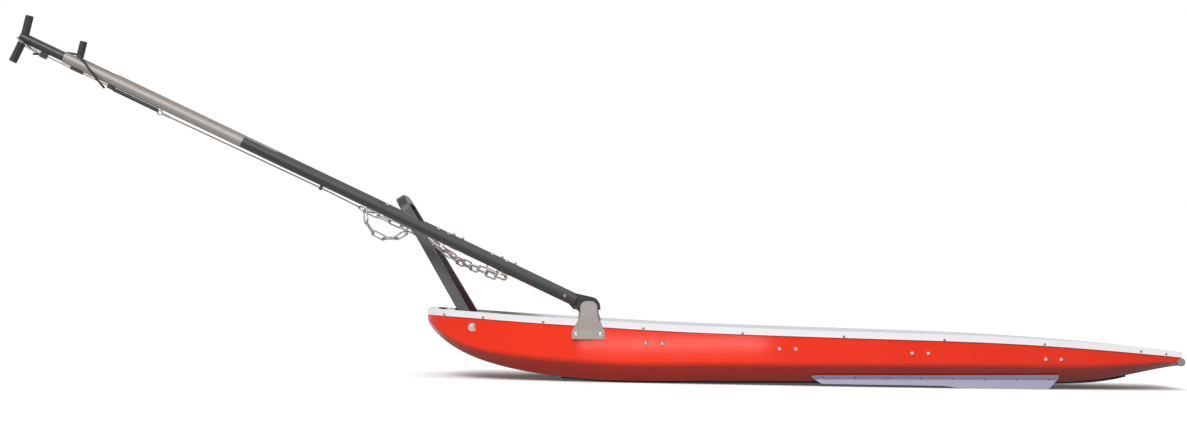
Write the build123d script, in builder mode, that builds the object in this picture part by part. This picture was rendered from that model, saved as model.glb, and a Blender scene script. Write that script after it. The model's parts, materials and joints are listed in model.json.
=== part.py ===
from build123d import *

import math
import os

# Rescue sled: an open fibreglass hull on two aluminium fins, with two long telescoping
# handles hinged to its sides, a support hoop in the nose and a chain brake slung between
# the handles.  Millimetres.  X runs from the nose (-X) to the tail (+X), Y across the
# sled (-Y is its left side), Z up from the ground.  "Station" is the distance from the nose.

# ---------------------------------------------------------------- driving dimensions
HULL_LENGTH = 2376.0
HULL_BEAM = 606.0  # outside width at the widest frame
SHELL = 5.0  # laminate thickness
ABOVE_RIM = 90.0  # how far cutting solids carry on above the rim
HANDLE_LENGTH = 1936.0  # pivot to grip, along the handle
HANDLE_ANGLE = 24.47  # handle above the horizontal when it rests on its stop
PIVOT_STATION = 512.0
PIVOT_Z = 225.6

# hull curves, each a short list of (share of the length, value)
PLAN = [  # half-beam as a share of half the greatest beam
    (0.0, 0.36),
    (0.011, 0.54),
    (0.030, 0.65),
    (0.060, 0.735),
    (0.110, 0.835),
    (0.170, 0.925),
    (0.215, 0.963),
    (0.340, 1.0),
    (0.520, 0.99),
    (0.680, 0.93),
    (0.820, 0.81),
    (0.920, 0.665),
    (1.0, 0.525),
]
SHEER = [  # height of the rim
    (0.0, 219.0),
    (0.060, 211.0),
    (0.130, 201.5),
    (0.215, 192.6),
    (0.300, 183.6),
    (0.420, 176.0),
    (0.620, 168.5),
    (0.755, 161.7),
    (0.860, 149.5),
    (0.946, 135.3),
    (1.0, 122.0),
]
KEEL = [  # height of the flat bottom
    (0.0, 176.0),
    (0.020, 128.0),
    (0.060, 74.0),
    (0.107, 40.5),
    (0.150, 22.5),
    (0.200, 10.0),
    (0.272, 5.0),
    (0.350, 8.6),
    (0.500, 14.0),
    (0.750, 21.4),
    (0.845, 22.8),
    (0.890, 31.6),
    (0.930, 48.0),
    (0.965, 66.0),
    (1.0, 79.5),
]
BILGE_RISE = [  # height of the bilge slope above the bottom
    (0.0, 10.0),
    (0.060, 27.0),
    (0.110, 41.0),
    (0.200, 54.0),
    (0.500, 52.0),
    (0.840, 50.0),
    (0.925, 34.0),
    (0.970, 18.0),
    (1.0, 10.0),
]
BILGE_RUN = [  # width of the bilge slope, side to bottom
    (0.0, 18.0),
    (0.110, 48.0),
    (0.200, 60.0),
    (0.840, 60.0),
    (1.0, 26.0),
]
FRAMES = [  # shares of the length where the hull's sections stand
    0.0,
    0.011,
    0.030,
    0.060,
    0.107,
    0.155,
    0.210,
    0.272,
    0.350,
    0.500,
    0.640,
    0.750,
    0.830,
    0.885,
    0.930,
    0.967,
    1.0,
]
SIDE_FLARE = 6.0  # the side leans out by this much from bilge to rim
BILGE_RADIUS = 22.0
CHINE_RADIUS = 9.0

# edge trim: a channel that clips over the rim
TRIM_WALL = 1.5
TRIM_DROP = 19.0
TRIM_GAP = 0.4
NOSE_TRIM_END = 55.0
TAIL_TRIM_START = 2248.0

# belly plate: a sheet of wear plastic under the flat bottom
BELLY_PLATE = 5.0
BELLY_PLATE_START = 430.0
BELLY_PLATE_END = 2205.0
BELLY_PLATE_INSET = 5.0

# fins: bent plates that follow the bilge
FIN_PLATE = 4.0
FIN_START = 1203.0
FIN_END = 1982.0
FIN_STEP_START = 1613.0
FIN_STEP_END = 1675.0
FIN_BEND = 9.0  # bend line above the bottom of the hull
FIN_TOP = 24.0  # top of the flange above the bottom of the hull
FIN_CLEAR = 8.0  # ground clearance of the shallow front stretch

# hinge brackets and the inner hinge plates
BRACKET_PLATE = 3.0
LUG_OUTSET = 8.14615  # middle plane of each handle, outside the hull's side at the pivot
TAB_OUTSET = 22.14615  # inner face of the bracket's tab, outside the hull's side
TAB_WIDTH = 52.0
TAB_TOP = 26.0  # above the pivot
TAB_FOOT = 20.0  # bend line below the pivot
FLANGE_TOP = 62.0  # bend line below the pivot
FLANGE_FOOT = 91.0
FLANGE_WIDTH = 101.0
PIN_RADIUS = 6.0
PIN_CLEARANCE = 0.05
INNER_PLATE_INSET = 10.85385  # outer face of the inner plate, inside the hull's side
HINGE_SCREW_PITCH = 75.0
HINGE_SCREW_RADIUS = 3.0
HINGE_SPACER_RADIUS = 7.8
TAB_ROUND = 19.76  # corners of the tab's top
FLANGE_ROUND = 4.0
PIVOT_HEAD_RADIUS = 9.6

# handle lug
LUG_PLATE = 6.0
LOBE_RADIUS = 36.0
HEEL_RADIUS = 23.0
HUB_RADIUS = 16.0
STOP_RADIUS = 24.0  # where the stop pin stands, from the pivot
STOP_PIN_RADIUS = 4.0
STOP_PIN_ANGLE = 200.0
DOG_WIDTH = 10.0
DOG_TIP = 29.0

# handle tubes, as distances from the pivot along the handle
AXIS_RISE = 6.0  # the tubes' axis lies above the pivot
LOWER_TUBE = (34.0, 2.5)  # diameter, wall
MIDDLE_TUBE = (35.0, 1.8)
UPPER_TUBE = (30.0, 2.0)
LOWER_START = 62.0
LOWER_END = 1185.0
MIDDLE_END = 1796.0
SPIGOT = 90.0  # overlap of one tube inside the next
SLIDE_GAP = 0.2
GRIP_RADIUS = 12.5
GRIP_BORE = 9.0
GRIP_LENGTH = 62.0
GRIP_TOP = 74.0  # above the tubes' axis

# U-bolts through the handles: middle, distance between legs
U_BOLTS = [(316.5, 49.0), (506.0, 33.0)]
U_BOLT_RADIUS = 3.0
U_BOLT_DROP = 9.0  # below the tube, to the middle of the rod
U_BOLT_NUT = 5.0
U_BOLT_NUT_RADIUS = 5.5

# support hoop
HOOP_TUBE = 30.0
HOOP_WALL = 2.0
HOOP_STATION = 150.0
HOOP_Z = 163.0
HOOP_LEAN = 31.4
HOOP_GAP = 12.40596  # between a leg and the inside of the hull, at the bolt
HOOP_TAPER = 10.9
HOOP_HEIGHT = 465.5
HOOP_BEND = 48.0
HOOP_TOE = 22.0
HOOP_BOLT_RADIUS = 5.0
HOOP_WASHER_RADIUS = 13.0
HOOP_WASHER_STAND = 3.0  # outer face of the washer, outside the side's middle line
HOOP_WASHER = 3.5
HOOP_BOLT_HEAD = 4.0
HOOP_BOLT_HEAD_TAPER = 20
HOOP_BOLT_SPARE = 14.0  # how far the bolt stands out of the leg
HOOP_NUT = 7.0
HOOP_NUT_RADIUS = 8.5
HOOP_NUT_SEAT = 4.0  # from the leg to the nut, filled by its sleeve
HOOP_CORNER = 3.0
HOOP_INNER_CORNER = 1.5

# tail bar
TAIL_BAR_RADIUS = 13.0
TAIL_BAR_WALL = 2.5
TAIL_BAR_DROP = 31.0
TAIL_BAR_INSET = 1.0  # its axis, ahead of the end of the hull
TAIL_BAR_END = 3.0  # how far its ends stand out of the sides

# strap loops inside the tub, each on two bolts
LOOP_STATIONS = [714.0, 1124.0, 1533.0, 1953.0]
LOOP_PITCH = 50.0
LOOP_DROP = 58.0  # below the rim
LOOP_RADIUS = 4.0
LOOP_REACH = 26.0
LOOP_BEND = 9.0
BOLT_HEAD_RADIUS = 8.5
BOLT_HEAD = 4.0
BOLT_SEAT = 2.0  # heads and washers are cut to the slope of the hull from this deep
WASHER = 3.0

# brake pull, rod, sleeve and cable, along the left handle
PULL_TOP = 16.0  # below the tubes' axis
PULL_LENGTH = 66.0
YOKE_RADIUS = 1.6
ROD_RADIUS = 2.0
ROD_DROP = 21.5  # below the tubes' axis
FERRULE_RADIUS = 4.5
FERRULE_END = 1897.0
ADJUSTER_START = 1869.0
ROD_END = 1617.0
SLEEVE_RADIUS = 6.0
SLEEVE_END = 1465.0
SLEEVE_DROP = 24.5
GUIDE_WIDTH = 16.0
GUIDES = [  # from, to, depth below the rod
    (1847.0, 1868.0, 10.0),
    (1725.0, 1765.0, 4.0),
    (1617.0, 1637.0, 7.0),
]
CABLE_RADIUS = 2.0
CABLE_DROP = 23.5
CABLE_BEND = 20.0
EYE_RADIUS = 7.0
EYE_DROP = 27.5
THIMBLE = 26.0
HOOK_AT = 906.0

# cord wound once round the left handle
CORD_RADIUS = 3.25
CORD_START = 1644.0
CORD_TURN = 246.0
CORD_COIL = 24.0  # from the tubes' axis, at the corners of its route
CORD_END_COIL = 33.0

# brake chain
LINK_WIRE = 5.0
LINK_LENGTH = 52.0
LINK_WIDTH = 20.0
ANCHOR_RING = 10.0
ANCHOR_AT = 305.0
LIFT_RING = 15.0
LIFT_POINT = (-213.0, -110.0, 530.0)  # station, across, height
LEFT_STRAND = [
    (-157.3, -98.0, 505.0),
    (-87.8, -86.0, 475.0),
    (-15.2, -80.0, 441.0),
    (46.5, -104.0, 400.0),
    (105.2, -170.0, 363.0),
    (156.5, -238.0, 344.0),
]
RIGHT_STRAND = [
    (-164.6, -60.0, 523.0),
    (-101.1, 10.0, 495.0),
    (-33.4, 58.0, 456.0),
    (27.3, 96.0, 413.0),
    (90.0, 170.0, 372.0),
    (156.5, 247.0, 346.0),
]
SLACK_BIGHT = [
    (-198.0, -127.5, 483.0),
    (-175.1, -130.1, 453.9),
    (-142.3, -125.2, 437.9),
    (-106.9, -113.9, 438.6),
]
HITCH_LINK = 3  # the left strand's link that the bight is hooked back to
HITCH_RING = 8.5
HITCH_WIRE = 4.0

# ---------------------------------------------------------------- derived dimensions
HALF_BEAM = HULL_BEAM / 2
TIP_STATION = PIVOT_STATION - (HANDLE_LENGTH + GRIP_RADIUS) * math.cos(math.radians(HANDLE_ANGLE))
PULL_REACH = PULL_TOP + PULL_LENGTH - AXIS_RISE
FOREMOST = TIP_STATION - PULL_REACH * math.sin(math.radians(HANDLE_ANGLE))
TAIL_END = HULL_LENGTH - TAIL_BAR_INSET + TAIL_BAR_RADIUS
MIDDLE = (FOREMOST + TAIL_END) / 2  # the station that lies at X = 0
TAIL_BAR_Z = SHEER[-1][1] - TAIL_BAR_DROP


def fair(curve, share):
    """Height or width on a curve through its points, with no overshoot between them."""
    x = [p[0] for p in curve]
    y = [p[1] for p in curve]
    last = len(x) - 1
    rise = [(y[i + 1] - y[i]) / (x[i + 1] - x[i]) for i in range(last)]
    slope = [rise[0]]
    for i in range(1, last):
        same_way = rise[i - 1] * rise[i] > 0
        slope.append(2 * rise[i - 1] * rise[i] / (rise[i - 1] + rise[i]) if same_way else 0.0)
    slope.append(rise[-1])
    share = min(max(share, x[0]), x[last])
    i = max(k for k in range(last) if x[k] <= share)
    h = x[i + 1] - x[i]
    t = (share - x[i]) / h
    near = (1 + 2 * t) * (1 - t) ** 2 * y[i] + t * (1 - t) ** 2 * h * slope[i]
    far = t**2 * (3 - 2 * t) * y[i + 1] + t**2 * (t - 1) * h * slope[i + 1]
    return near + far


def at_station(curve, station):
    return fair(curve, station / HULL_LENGTH)


def half_beam(station):
    return at_station(PLAN, station) * HALF_BEAM


LUG_Y = half_beam(PIVOT_STATION) + LUG_OUTSET
TAB_Y = half_beam(PIVOT_STATION) + TAB_OUTSET
INNER_PLATE_Y = half_beam(PIVOT_STATION) - INNER_PLATE_INSET
SIDE_AT_HOOP = half_beam(HOOP_STATION) - SIDE_FLARE / 2
HOOP_FOOT_HALF = SIDE_AT_HOOP - SHELL - HOOP_GAP - HOOP_TUBE / 2  # middle of a leg at the bolt


def thickening(curve, share, scale):
    """How much a wall measured along Y or Z must grow where the curve runs at a slant."""
    step = 0.004
    low = max(share - step, 0.0)
    high = min(share + step, 1.0)
    slope = (fair(curve, high) - fair(curve, low)) * scale / ((high - low) * HULL_LENGTH)
    return min(math.hypot(1.0, slope), 1.5)


def across(station):
    """The plane of a hull section: its x is the sled's Y and its y is Z."""
    return Plane(origin=(station - MIDDLE, 0, 0), x_dir=(0, 1, 0), z_dir=(1, 0, 0))


def along(y):
    """A plane seen from the left side: its x is the station and its y is Z."""
    return Plane(origin=(-MIDDLE, y, 0), x_dir=(1, 0, 0), z_dir=(0, -1, 0))


def hull_body(grow, raise_rim):
    """The hull's outside as one solid, grown outward (or inward, below 0) by a wall."""
    with BuildPart() as body:
        for share in FRAMES:
            station = share * (HULL_LENGTH + 2 * grow) - grow
            beam = fair(PLAN, share) * HALF_BEAM + grow * thickening(PLAN, share, HALF_BEAM)
            keel = fair(KEEL, share) - grow * thickening(KEEL, share, 1.0)
            sheer = fair(SHEER, share)
            bilge = fair(KEEL, share) + fair(BILGE_RISE, share) - grow * 0.35
            side = beam - SIDE_FLARE
            flat = side - fair(BILGE_RUN, share) - grow * 0.5
            top = sheer + raise_rim
            flare = SIDE_FLARE * raise_rim / (sheer - bilge)
            soft = min(1.0, fair(BILGE_RISE, share) / 40.0)
            with BuildSketch(across(station)) as frame:
                with BuildLine():
                    Polyline(
                        (-beam - flare, top),
                        (-side, bilge),
                        (-flat, keel),
                        (flat, keel),
                        (side, bilge),
                        (beam + flare, top),
                        close=True,
                    )
                make_face()
                corners = frame.vertices().sort_by(Axis.Y)
                fillet(corners[0:2], CHINE_RADIUS * soft)
                corners = frame.vertices().filter_by_position(
                    Axis.Y, bilge - 0.01, bilge + 0.01
                )
                fillet(corners, BILGE_RADIUS * soft)
        loft()
    return body.part


def finish(builder, name):
    builder.part.label = name
    export_step(builder.part, f"parts/{name}.step")
    print(name, round(builder.part.volume), len(builder.part.solids()))


def side_pair(builder, name):
    """Write a piece of the left side and its mirror image on the right."""
    finish(builder, f"{name}_left")
    with BuildPart() as other:
        add(builder.part.mirror(Plane.XZ))
    finish(other, f"{name}_right")


os.makedirs("parts", exist_ok=True)

# ---------------------------------------------------------------- hull
hull_outside = hull_body(0.0, 0.0)
hull_inside = hull_body(-SHELL, ABOVE_RIM)

with BuildPart() as hull_shell:
    add(hull_outside)
    add(hull_inside, mode=Mode.SUBTRACT)
    with Locations((HOOP_STATION - MIDDLE, 0, HOOP_Z)):
        Cylinder(
            HOOP_BOLT_RADIUS, HULL_BEAM, rotation=(90, 0, 0), mode=Mode.SUBTRACT
        )
    for station in LOOP_STATIONS:
        for end in (-1, 1):
            x = station + end * LOOP_PITCH / 2 - MIDDLE
            with Locations((x, 0, at_station(SHEER, station) - LOOP_DROP)):
                Cylinder(
                    LOOP_RADIUS, HULL_BEAM + 20, rotation=(90, 0, 0), mode=Mode.SUBTRACT
                )
    for end in (-1, 1):
        x = PIVOT_STATION + end * HINGE_SCREW_PITCH / 2 - MIDDLE
        with Locations((x, 0, PIVOT_Z - (FLANGE_TOP + FLANGE_FOOT) / 2)):
            Cylinder(
                HINGE_SCREW_RADIUS, HULL_BEAM + 20, rotation=(90, 0, 0), mode=Mode.SUBTRACT
            )
    with Locations((HULL_LENGTH - TAIL_BAR_INSET - MIDDLE, 0, TAIL_BAR_Z)):
        Cylinder(TAIL_BAR_RADIUS, HULL_BEAM, rotation=(90, 0, 0), mode=Mode.SUBTRACT)
finish(hull_shell, "hull_shell")


# ---------------------------------------------------------------- tail bar
tail_bar_station = HULL_LENGTH - TAIL_BAR_INSET
tail_bar_length = 2 * (half_beam(tail_bar_station) - SIDE_FLARE / 2 + TAIL_BAR_END)
with BuildPart() as tail_bar:
    with Locations((tail_bar_station - MIDDLE, 0, TAIL_BAR_Z)):
        Cylinder(TAIL_BAR_RADIUS, tail_bar_length, rotation=(90, 0, 0))
        Cylinder(
            TAIL_BAR_RADIUS - TAIL_BAR_WALL,
            tail_bar_length - 4 * TAIL_BAR_WALL,
            rotation=(90, 0, 0),
            mode=Mode.SUBTRACT,
        )
finish(tail_bar, "tail_bar")

# ---------------------------------------------------------------- edge trim
with BuildPart() as trim_band:
    with BuildSketch(along(0)):
        with BuildLine():
            stops = [share * HULL_LENGTH for share, height in SHEER]
            stops = [-2 * TRIM_DROP] + stops[1:-1] + [HULL_LENGTH + 2 * TRIM_DROP]
            lower = Spline(*[(s, at_station(SHEER, s) - TRIM_DROP) for s in stops])
            high = SHEER[0][1] + TRIM_DROP
            Polyline(lower @ 1, (stops[-1], high), (stops[0], high), lower @ 0)
        make_face()
    extrude(amount=HULL_BEAM, both=True)

with BuildPart() as rim_wall:
    add(hull_outside)
    add(hull_inside, mode=Mode.SUBTRACT)

with BuildPart() as trim_ring:
    add(hull_body(TRIM_WALL, TRIM_WALL))
    add(hull_body(-SHELL - TRIM_WALL, ABOVE_RIM), mode=Mode.SUBTRACT)
    add(rim_wall.part, mode=Mode.SUBTRACT)
    add(trim_band.part, mode=Mode.INTERSECT)
    with Locations((tail_bar_station - MIDDLE, 0, TAIL_BAR_Z)):
        Cylinder(TAIL_BAR_RADIUS, HULL_BEAM, rotation=(90, 0, 0), mode=Mode.SUBTRACT)


def trim_piece(start, end, low_y, high_y):
    """The stretch of the edge trim between two stations, on one side or both."""
    with BuildPart() as piece:
        add(trim_ring.part)
        middle = ((start + end) / 2 - MIDDLE, (low_y + high_y) / 2, 0)
        with Locations(middle):
            Box(end - start, high_y - low_y, 1000, mode=Mode.INTERSECT)
    return piece


finish(trim_piece(-50, NOSE_TRIM_END, -HULL_BEAM, HULL_BEAM), "edge_trim_nose")
side_start = NOSE_TRIM_END + TRIM_GAP
side_end = TAIL_TRIM_START - TRIM_GAP
side_pair(trim_piece(side_start, side_end, -HULL_BEAM, 0), "edge_trim")
finish(trim_piece(TAIL_TRIM_START, HULL_LENGTH + 50, -HULL_BEAM, HULL_BEAM), "edge_trim_tail")

# ---------------------------------------------------------------- belly plate
with BuildPart() as belly_plate:
    span = BELLY_PLATE_END - BELLY_PLATE_START
    low_station = 0.272 * HULL_LENGTH
    stops = [BELLY_PLATE_START + span * i / 12 for i in range(13)] + [low_station]
    for station in sorted(stops):
        flat = half_beam(station) - SIDE_FLARE - at_station(BILGE_RUN, station)
        keel = at_station(KEEL, station)
        with BuildSketch(across(station)):
            with Locations((0, keel)):
                Rectangle(2 * (flat - BELLY_PLATE_INSET), 2 * BELLY_PLATE)
    loft()
    add(hull_outside, mode=Mode.SUBTRACT)
finish(belly_plate, "belly_plate")

# ---------------------------------------------------------------- fins
with BuildPart() as fin:
    for i in range(9):
        station = FIN_START - 10 + (FIN_END - FIN_START + 20) * i / 8
        keel = at_station(KEEL, station)
        side = half_beam(station) - SIDE_FLARE
        flat = side - at_station(BILGE_RUN, station)
        rise = at_station(BILGE_RISE, station)
        run = at_station(BILGE_RUN, station)
        slant = math.hypot(rise, run)
        out_y = FIN_PLATE * rise / slant
        out_z = FIN_PLATE * run / slant
        bend = (flat + run * FIN_BEND / rise, keel + FIN_BEND)
        top = (flat + run * (FIN_TOP + 6) / rise, keel + FIN_TOP + 6)
        with BuildSketch(across(station)):
            with BuildLine():
                Polyline(
                    (-bend[0] + 1, bend[1] + 1),
                    (-top[0] + 1, top[1] + 1),
                    (-top[0] - out_y, top[1] - out_z),
                    (-bend[0] - FIN_PLATE, bend[1] - out_z / 2),
                    (-bend[0] - FIN_PLATE, -5),
                    (-bend[0], -5),
                    close=True,
                )
            make_face()
    loft()
    add(hull_outside, mode=Mode.SUBTRACT)
    with BuildSketch(along(0)):
        with BuildLine():
            tip_z = at_station(KEEL, FIN_START) + 14
            Polyline(
                (FIN_START, tip_z),
                (FIN_START + 34, FIN_CLEAR),
                (FIN_STEP_START, FIN_CLEAR),
                (FIN_STEP_END, 0),
                (FIN_END - 32, 0),
                (FIN_END, 34),
                (FIN_END - 4, at_station(KEEL, FIN_END) + FIN_TOP),
                (FIN_START + 5, at_station(KEEL, FIN_START) + FIN_TOP - 4),
                close=True,
            )
        make_face()
    extrude(amount=HULL_BEAM, both=True, mode=Mode.INTERSECT)
side_pair(fin, "fin")

# ---------------------------------------------------------------- hinge brackets
beam_at_pivot = half_beam(PIVOT_STATION + FLANGE_WIDTH / 2)
pivot_x = PIVOT_STATION - MIDDLE


def bracket_outline(tab_width):
    """The bracket seen from the side, about the pivot: tab, slanted part and flange."""
    tab = tab_width / 2
    foot = FLANGE_WIDTH / 2
    half = [
        (foot, -FLANGE_FOOT),
        (foot, -FLANGE_TOP - 3),
        (foot - 3, -FLANGE_TOP),
        (tab, -TAB_FOOT),
        (tab, TAB_TOP),
    ]
    return half + [(-x, y) for x, y in reversed(half)]


def at_pivot(y):
    """The plane of a hinge plate, seen from the left side, with the pivot at its origin."""
    return Plane(origin=(pivot_x, y, PIVOT_Z), x_dir=(1, 0, 0), z_dir=(0, -1, 0))


with BuildPart() as hinge_bracket:
    outer = beam_at_pivot + BRACKET_PLATE
    tab_outer = TAB_Y + BRACKET_PLATE
    tilt = math.atan2(tab_outer - outer, FLANGE_TOP - TAB_FOOT)
    bend = BRACKET_PLATE * math.tan(tilt / 2)
    with BuildSketch(Plane(origin=(pivot_x, 0, PIVOT_Z), x_dir=(0, 1, 0), z_dir=(1, 0, 0))):
        with BuildLine():
            Polyline(
                (-outer, -FLANGE_FOOT),
                (-outer, -FLANGE_TOP),
                (-tab_outer, -TAB_FOOT),
                (-tab_outer, TAB_TOP),
                (-TAB_Y, TAB_TOP),
                (-TAB_Y, -TAB_FOOT + bend),
                (-beam_at_pivot, -FLANGE_TOP + bend),
                (-beam_at_pivot + 12, -FLANGE_TOP + bend),
                (-beam_at_pivot + 12, -FLANGE_FOOT),
                close=True,
            )
        make_face()
    extrude(amount=FLANGE_WIDTH / 2, both=True)
    with BuildSketch(at_pivot(0)) as outline:
        with BuildLine():
            Polyline(*bracket_outline(TAB_WIDTH), close=True)
        make_face()
        corners = outline.vertices().sort_by(Axis.Y)
        fillet(corners[-2:], TAB_ROUND)
        fillet(outline.vertices().sort_by(Axis.Y)[:2], FLANGE_ROUND)
    extrude(amount=HULL_BEAM, mode=Mode.INTERSECT)
    add(hull_outside, mode=Mode.SUBTRACT)
    screws = GridLocations(HINGE_SCREW_PITCH, 1, 2, 1)
    with BuildSketch(at_pivot(0)):
        with Locations((0, -(FLANGE_TOP + FLANGE_FOOT) / 2)):
            with screws:
                Circle(HINGE_SCREW_RADIUS)
    extrude(amount=HULL_BEAM, mode=Mode.SUBTRACT)
side_pair(hinge_bracket, "hinge_bracket")

stop_angle = math.radians(STOP_PIN_ANGLE)
stop_at = (STOP_RADIUS * math.cos(stop_angle), STOP_RADIUS * math.sin(stop_angle))
with BuildPart() as hinge_plate:
    with BuildSketch(at_pivot(-INNER_PLATE_Y)) as outline:
        with BuildLine():
            Polyline(*bracket_outline(TAB_WIDTH + 10), close=True)
        make_face()
        corners = outline.vertices().sort_by(Axis.Y)
        fillet(corners[-2:], TAB_ROUND)
        Circle(PIN_RADIUS, mode=Mode.SUBTRACT)
    extrude(amount=-BRACKET_PLATE)
    with BuildSketch(at_pivot(-INNER_PLATE_Y)):
        with Locations(stop_at):
            Circle(STOP_PIN_RADIUS)
    extrude(amount=LUG_Y - INNER_PLATE_Y - LUG_PLATE / 2 - 3)
    with BuildSketch(at_pivot(-INNER_PLATE_Y)):
        with Locations((0, -(FLANGE_TOP + FLANGE_FOOT) / 2)):
            with GridLocations(HINGE_SCREW_PITCH, 1, 2, 1):
                Circle(HINGE_SPACER_RADIUS)
    extrude(amount=HALF_BEAM - INNER_PLATE_Y)
    add(hull_inside, mode=Mode.INTERSECT)
    with BuildSketch(at_pivot(0)):
        with Locations((0, -(FLANGE_TOP + FLANGE_FOOT) / 2)):
            with GridLocations(HINGE_SCREW_PITCH, 1, 2, 1):
                Circle(HINGE_SCREW_RADIUS)
    extrude(amount=HULL_BEAM, mode=Mode.SUBTRACT)
side_pair(hinge_plate, "hinge_plate")

with BuildPart() as pivot_pin:
    inner_face = INNER_PLATE_Y - BRACKET_PLATE
    with BuildSketch(at_pivot(-inner_face)):
        Circle(PIN_RADIUS)
    extrude(amount=TAB_Y - inner_face)
    with BuildSketch(at_pivot(-inner_face)):
        RegularPolygon(PIVOT_HEAD_RADIUS, 6)
    extrude(amount=-PIN_RADIUS)
side_pair(pivot_pin, "pivot_pin")

# ---------------------------------------------------------------- handles
lean = math.radians(HANDLE_ANGLE)
UP_HANDLE = Vector(-math.cos(lean), 0, math.sin(lean))
OFF_HANDLE = Vector(math.sin(lean), 0, math.cos(lean))
PIVOT = Vector(pivot_x, 0, PIVOT_Z)


def handle_side(y):
    """A plane through a handle, about the pivot: x along the handle, y away from it."""
    return Plane(origin=PIVOT + Vector(0, y, 0), x_dir=UP_HANDLE, z_dir=(0, 1, 0))


def on_axis(along_handle, below=0.0, y=-LUG_Y):
    """A point of the left handle, by its distance from the pivot and below the tubes' axis."""
    return PIVOT + UP_HANDLE * along_handle + OFF_HANDLE * (AXIS_RISE - below) + Vector(0, y, 0)


def tube_end(along_handle, below=0.0):
    """The plane across a handle at a distance from the pivot."""
    return Plane(origin=on_axis(along_handle, below), x_dir=(0, 1, 0), z_dir=UP_HANDLE)


dog_angle = 180 - (STOP_PIN_ANGLE - 22.5) - HANDLE_ANGLE
with BuildPart() as handle_lug:
    with BuildSketch(handle_side(-LUG_Y - LUG_PLATE / 2)) as lobe:
        Circle(LOBE_RADIUS)
        with Locations((LOWER_START - 4, AXIS_RISE)):
            Rectangle(8, LOWER_TUBE[0])
        make_hull()
        with Locations((-2 * LOBE_RADIUS * math.sin(lean), -2 * LOBE_RADIUS * math.cos(lean))):
            Rectangle(
                8 * LOBE_RADIUS, 4 * LOBE_RADIUS, rotation=-HANDLE_ANGLE, mode=Mode.SUBTRACT
            )
    extrude(amount=LUG_PLATE)
    with BuildSketch(handle_side(-LUG_Y - LUG_PLATE / 2)) as heel:
        Circle(HEEL_RADIUS)
        with Locations((LOWER_START - 4, AXIS_RISE)):
            Rectangle(8, LOWER_TUBE[0])
        make_hull()
    extrude(amount=LUG_PLATE)
    with BuildSketch(tube_end(LOWER_START - 14)):
        Circle(LOWER_TUBE[0] / 2)
    extrude(amount=14)
    with BuildSketch(tube_end(LOWER_START)):
        Circle(LOWER_TUBE[0] / 2 - LOWER_TUBE[1])
    extrude(amount=70)
    with BuildSketch(handle_side(-TAB_Y + 2)):
        Circle(HUB_RADIUS)
    extrude(amount=TAB_Y - INNER_PLATE_Y - 4)
    with BuildSketch(handle_side(-LUG_Y)):
        with Locations(Location((0, 0, 0), dog_angle)):
            with Locations(((HUB_RADIUS + DOG_TIP) / 2 - 2, 0)):
                Rectangle(DOG_TIP - HUB_RADIUS + 4, DOG_WIDTH)
    extrude(amount=LUG_Y - INNER_PLATE_Y - 4)
    with BuildSketch(handle_side(-LUG_Y)):
        Circle(PIN_RADIUS + PIN_CLEARANCE)
    extrude(amount=100, both=True, mode=Mode.SUBTRACT)
side_pair(handle_lug, "handle_lug")

spigot = MIDDLE_TUBE[0] / 2 - MIDDLE_TUBE[1] - SLIDE_GAP
with BuildPart() as lower_tube:
    with BuildSketch(tube_end(LOWER_START)):
        Circle(LOWER_TUBE[0] / 2)
        Circle(LOWER_TUBE[0] / 2 - LOWER_TUBE[1], mode=Mode.SUBTRACT)
    extrude(amount=LOWER_END - LOWER_START)
    with BuildSketch(tube_end(LOWER_END - 20)):
        Circle(LOWER_TUBE[0] / 2 - LOWER_TUBE[1])
        Circle(spigot - 3, mode=Mode.SUBTRACT)
    extrude(amount=20)
    with BuildSketch(tube_end(LOWER_END)):
        Circle(spigot)
        Circle(spigot - 3, mode=Mode.SUBTRACT)
    extrude(amount=SPIGOT)
    for middle, legs in U_BOLTS:
        for end in (-1, 1):
            with BuildSketch(Plane(on_axis(middle + end * legs / 2), z_dir=OFF_HANDLE)):
                Circle(U_BOLT_RADIUS + SLIDE_GAP)
            extrude(amount=LOWER_TUBE[0], both=True, mode=Mode.SUBTRACT)
side_pair(lower_tube, "lower_tube")

with BuildPart() as middle_tube:
    with BuildSketch(tube_end(LOWER_END)):
        Circle(MIDDLE_TUBE[0] / 2)
        Circle(MIDDLE_TUBE[0] / 2 - MIDDLE_TUBE[1], mode=Mode.SUBTRACT)
    extrude(amount=MIDDLE_END - LOWER_END)
side_pair(middle_tube, "middle_tube")

tip = HANDLE_LENGTH + GRIP_RADIUS
with BuildPart() as upper_tube:
    with BuildSketch(tube_end(MIDDLE_END - SPIGOT)):
        Circle(UPPER_TUBE[0] / 2)
        Circle(UPPER_TUBE[0] / 2 - UPPER_TUBE[1], mode=Mode.SUBTRACT)
    extrude(amount=tip - MIDDLE_END + SPIGOT)
    with BuildSketch(tube_end(tip - UPPER_TUBE[1])):
        Circle(UPPER_TUBE[0] / 2)
    extrude(amount=UPPER_TUBE[1])
    with BuildSketch(Plane(on_axis(HANDLE_LENGTH, -UPPER_TUBE[0] / 2 + 3), z_dir=OFF_HANDLE)):
        Circle(GRIP_BORE)
    extrude(amount=GRIP_TOP - UPPER_TUBE[0] / 2 - 6)
side_pair(upper_tube, "upper_tube")

with BuildPart() as grip:
    with BuildSketch(Plane(on_axis(HANDLE_LENGTH, -GRIP_TOP + GRIP_LENGTH), z_dir=OFF_HANDLE)):
        Circle(GRIP_RADIUS)
    extrude(amount=GRIP_LENGTH)
    fillet(grip.edges().filter_by(GeomType.CIRCLE).sort_by(Axis.Z)[-1], 2.5)
    add(upper_tube.part, mode=Mode.SUBTRACT)
    with BuildSketch(tube_end(tip - 3 * UPPER_TUBE[0])):
        Circle(UPPER_TUBE[0] / 2)
    extrude(amount=3 * UPPER_TUBE[0], mode=Mode.SUBTRACT)
side_pair(grip, "grip")

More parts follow.
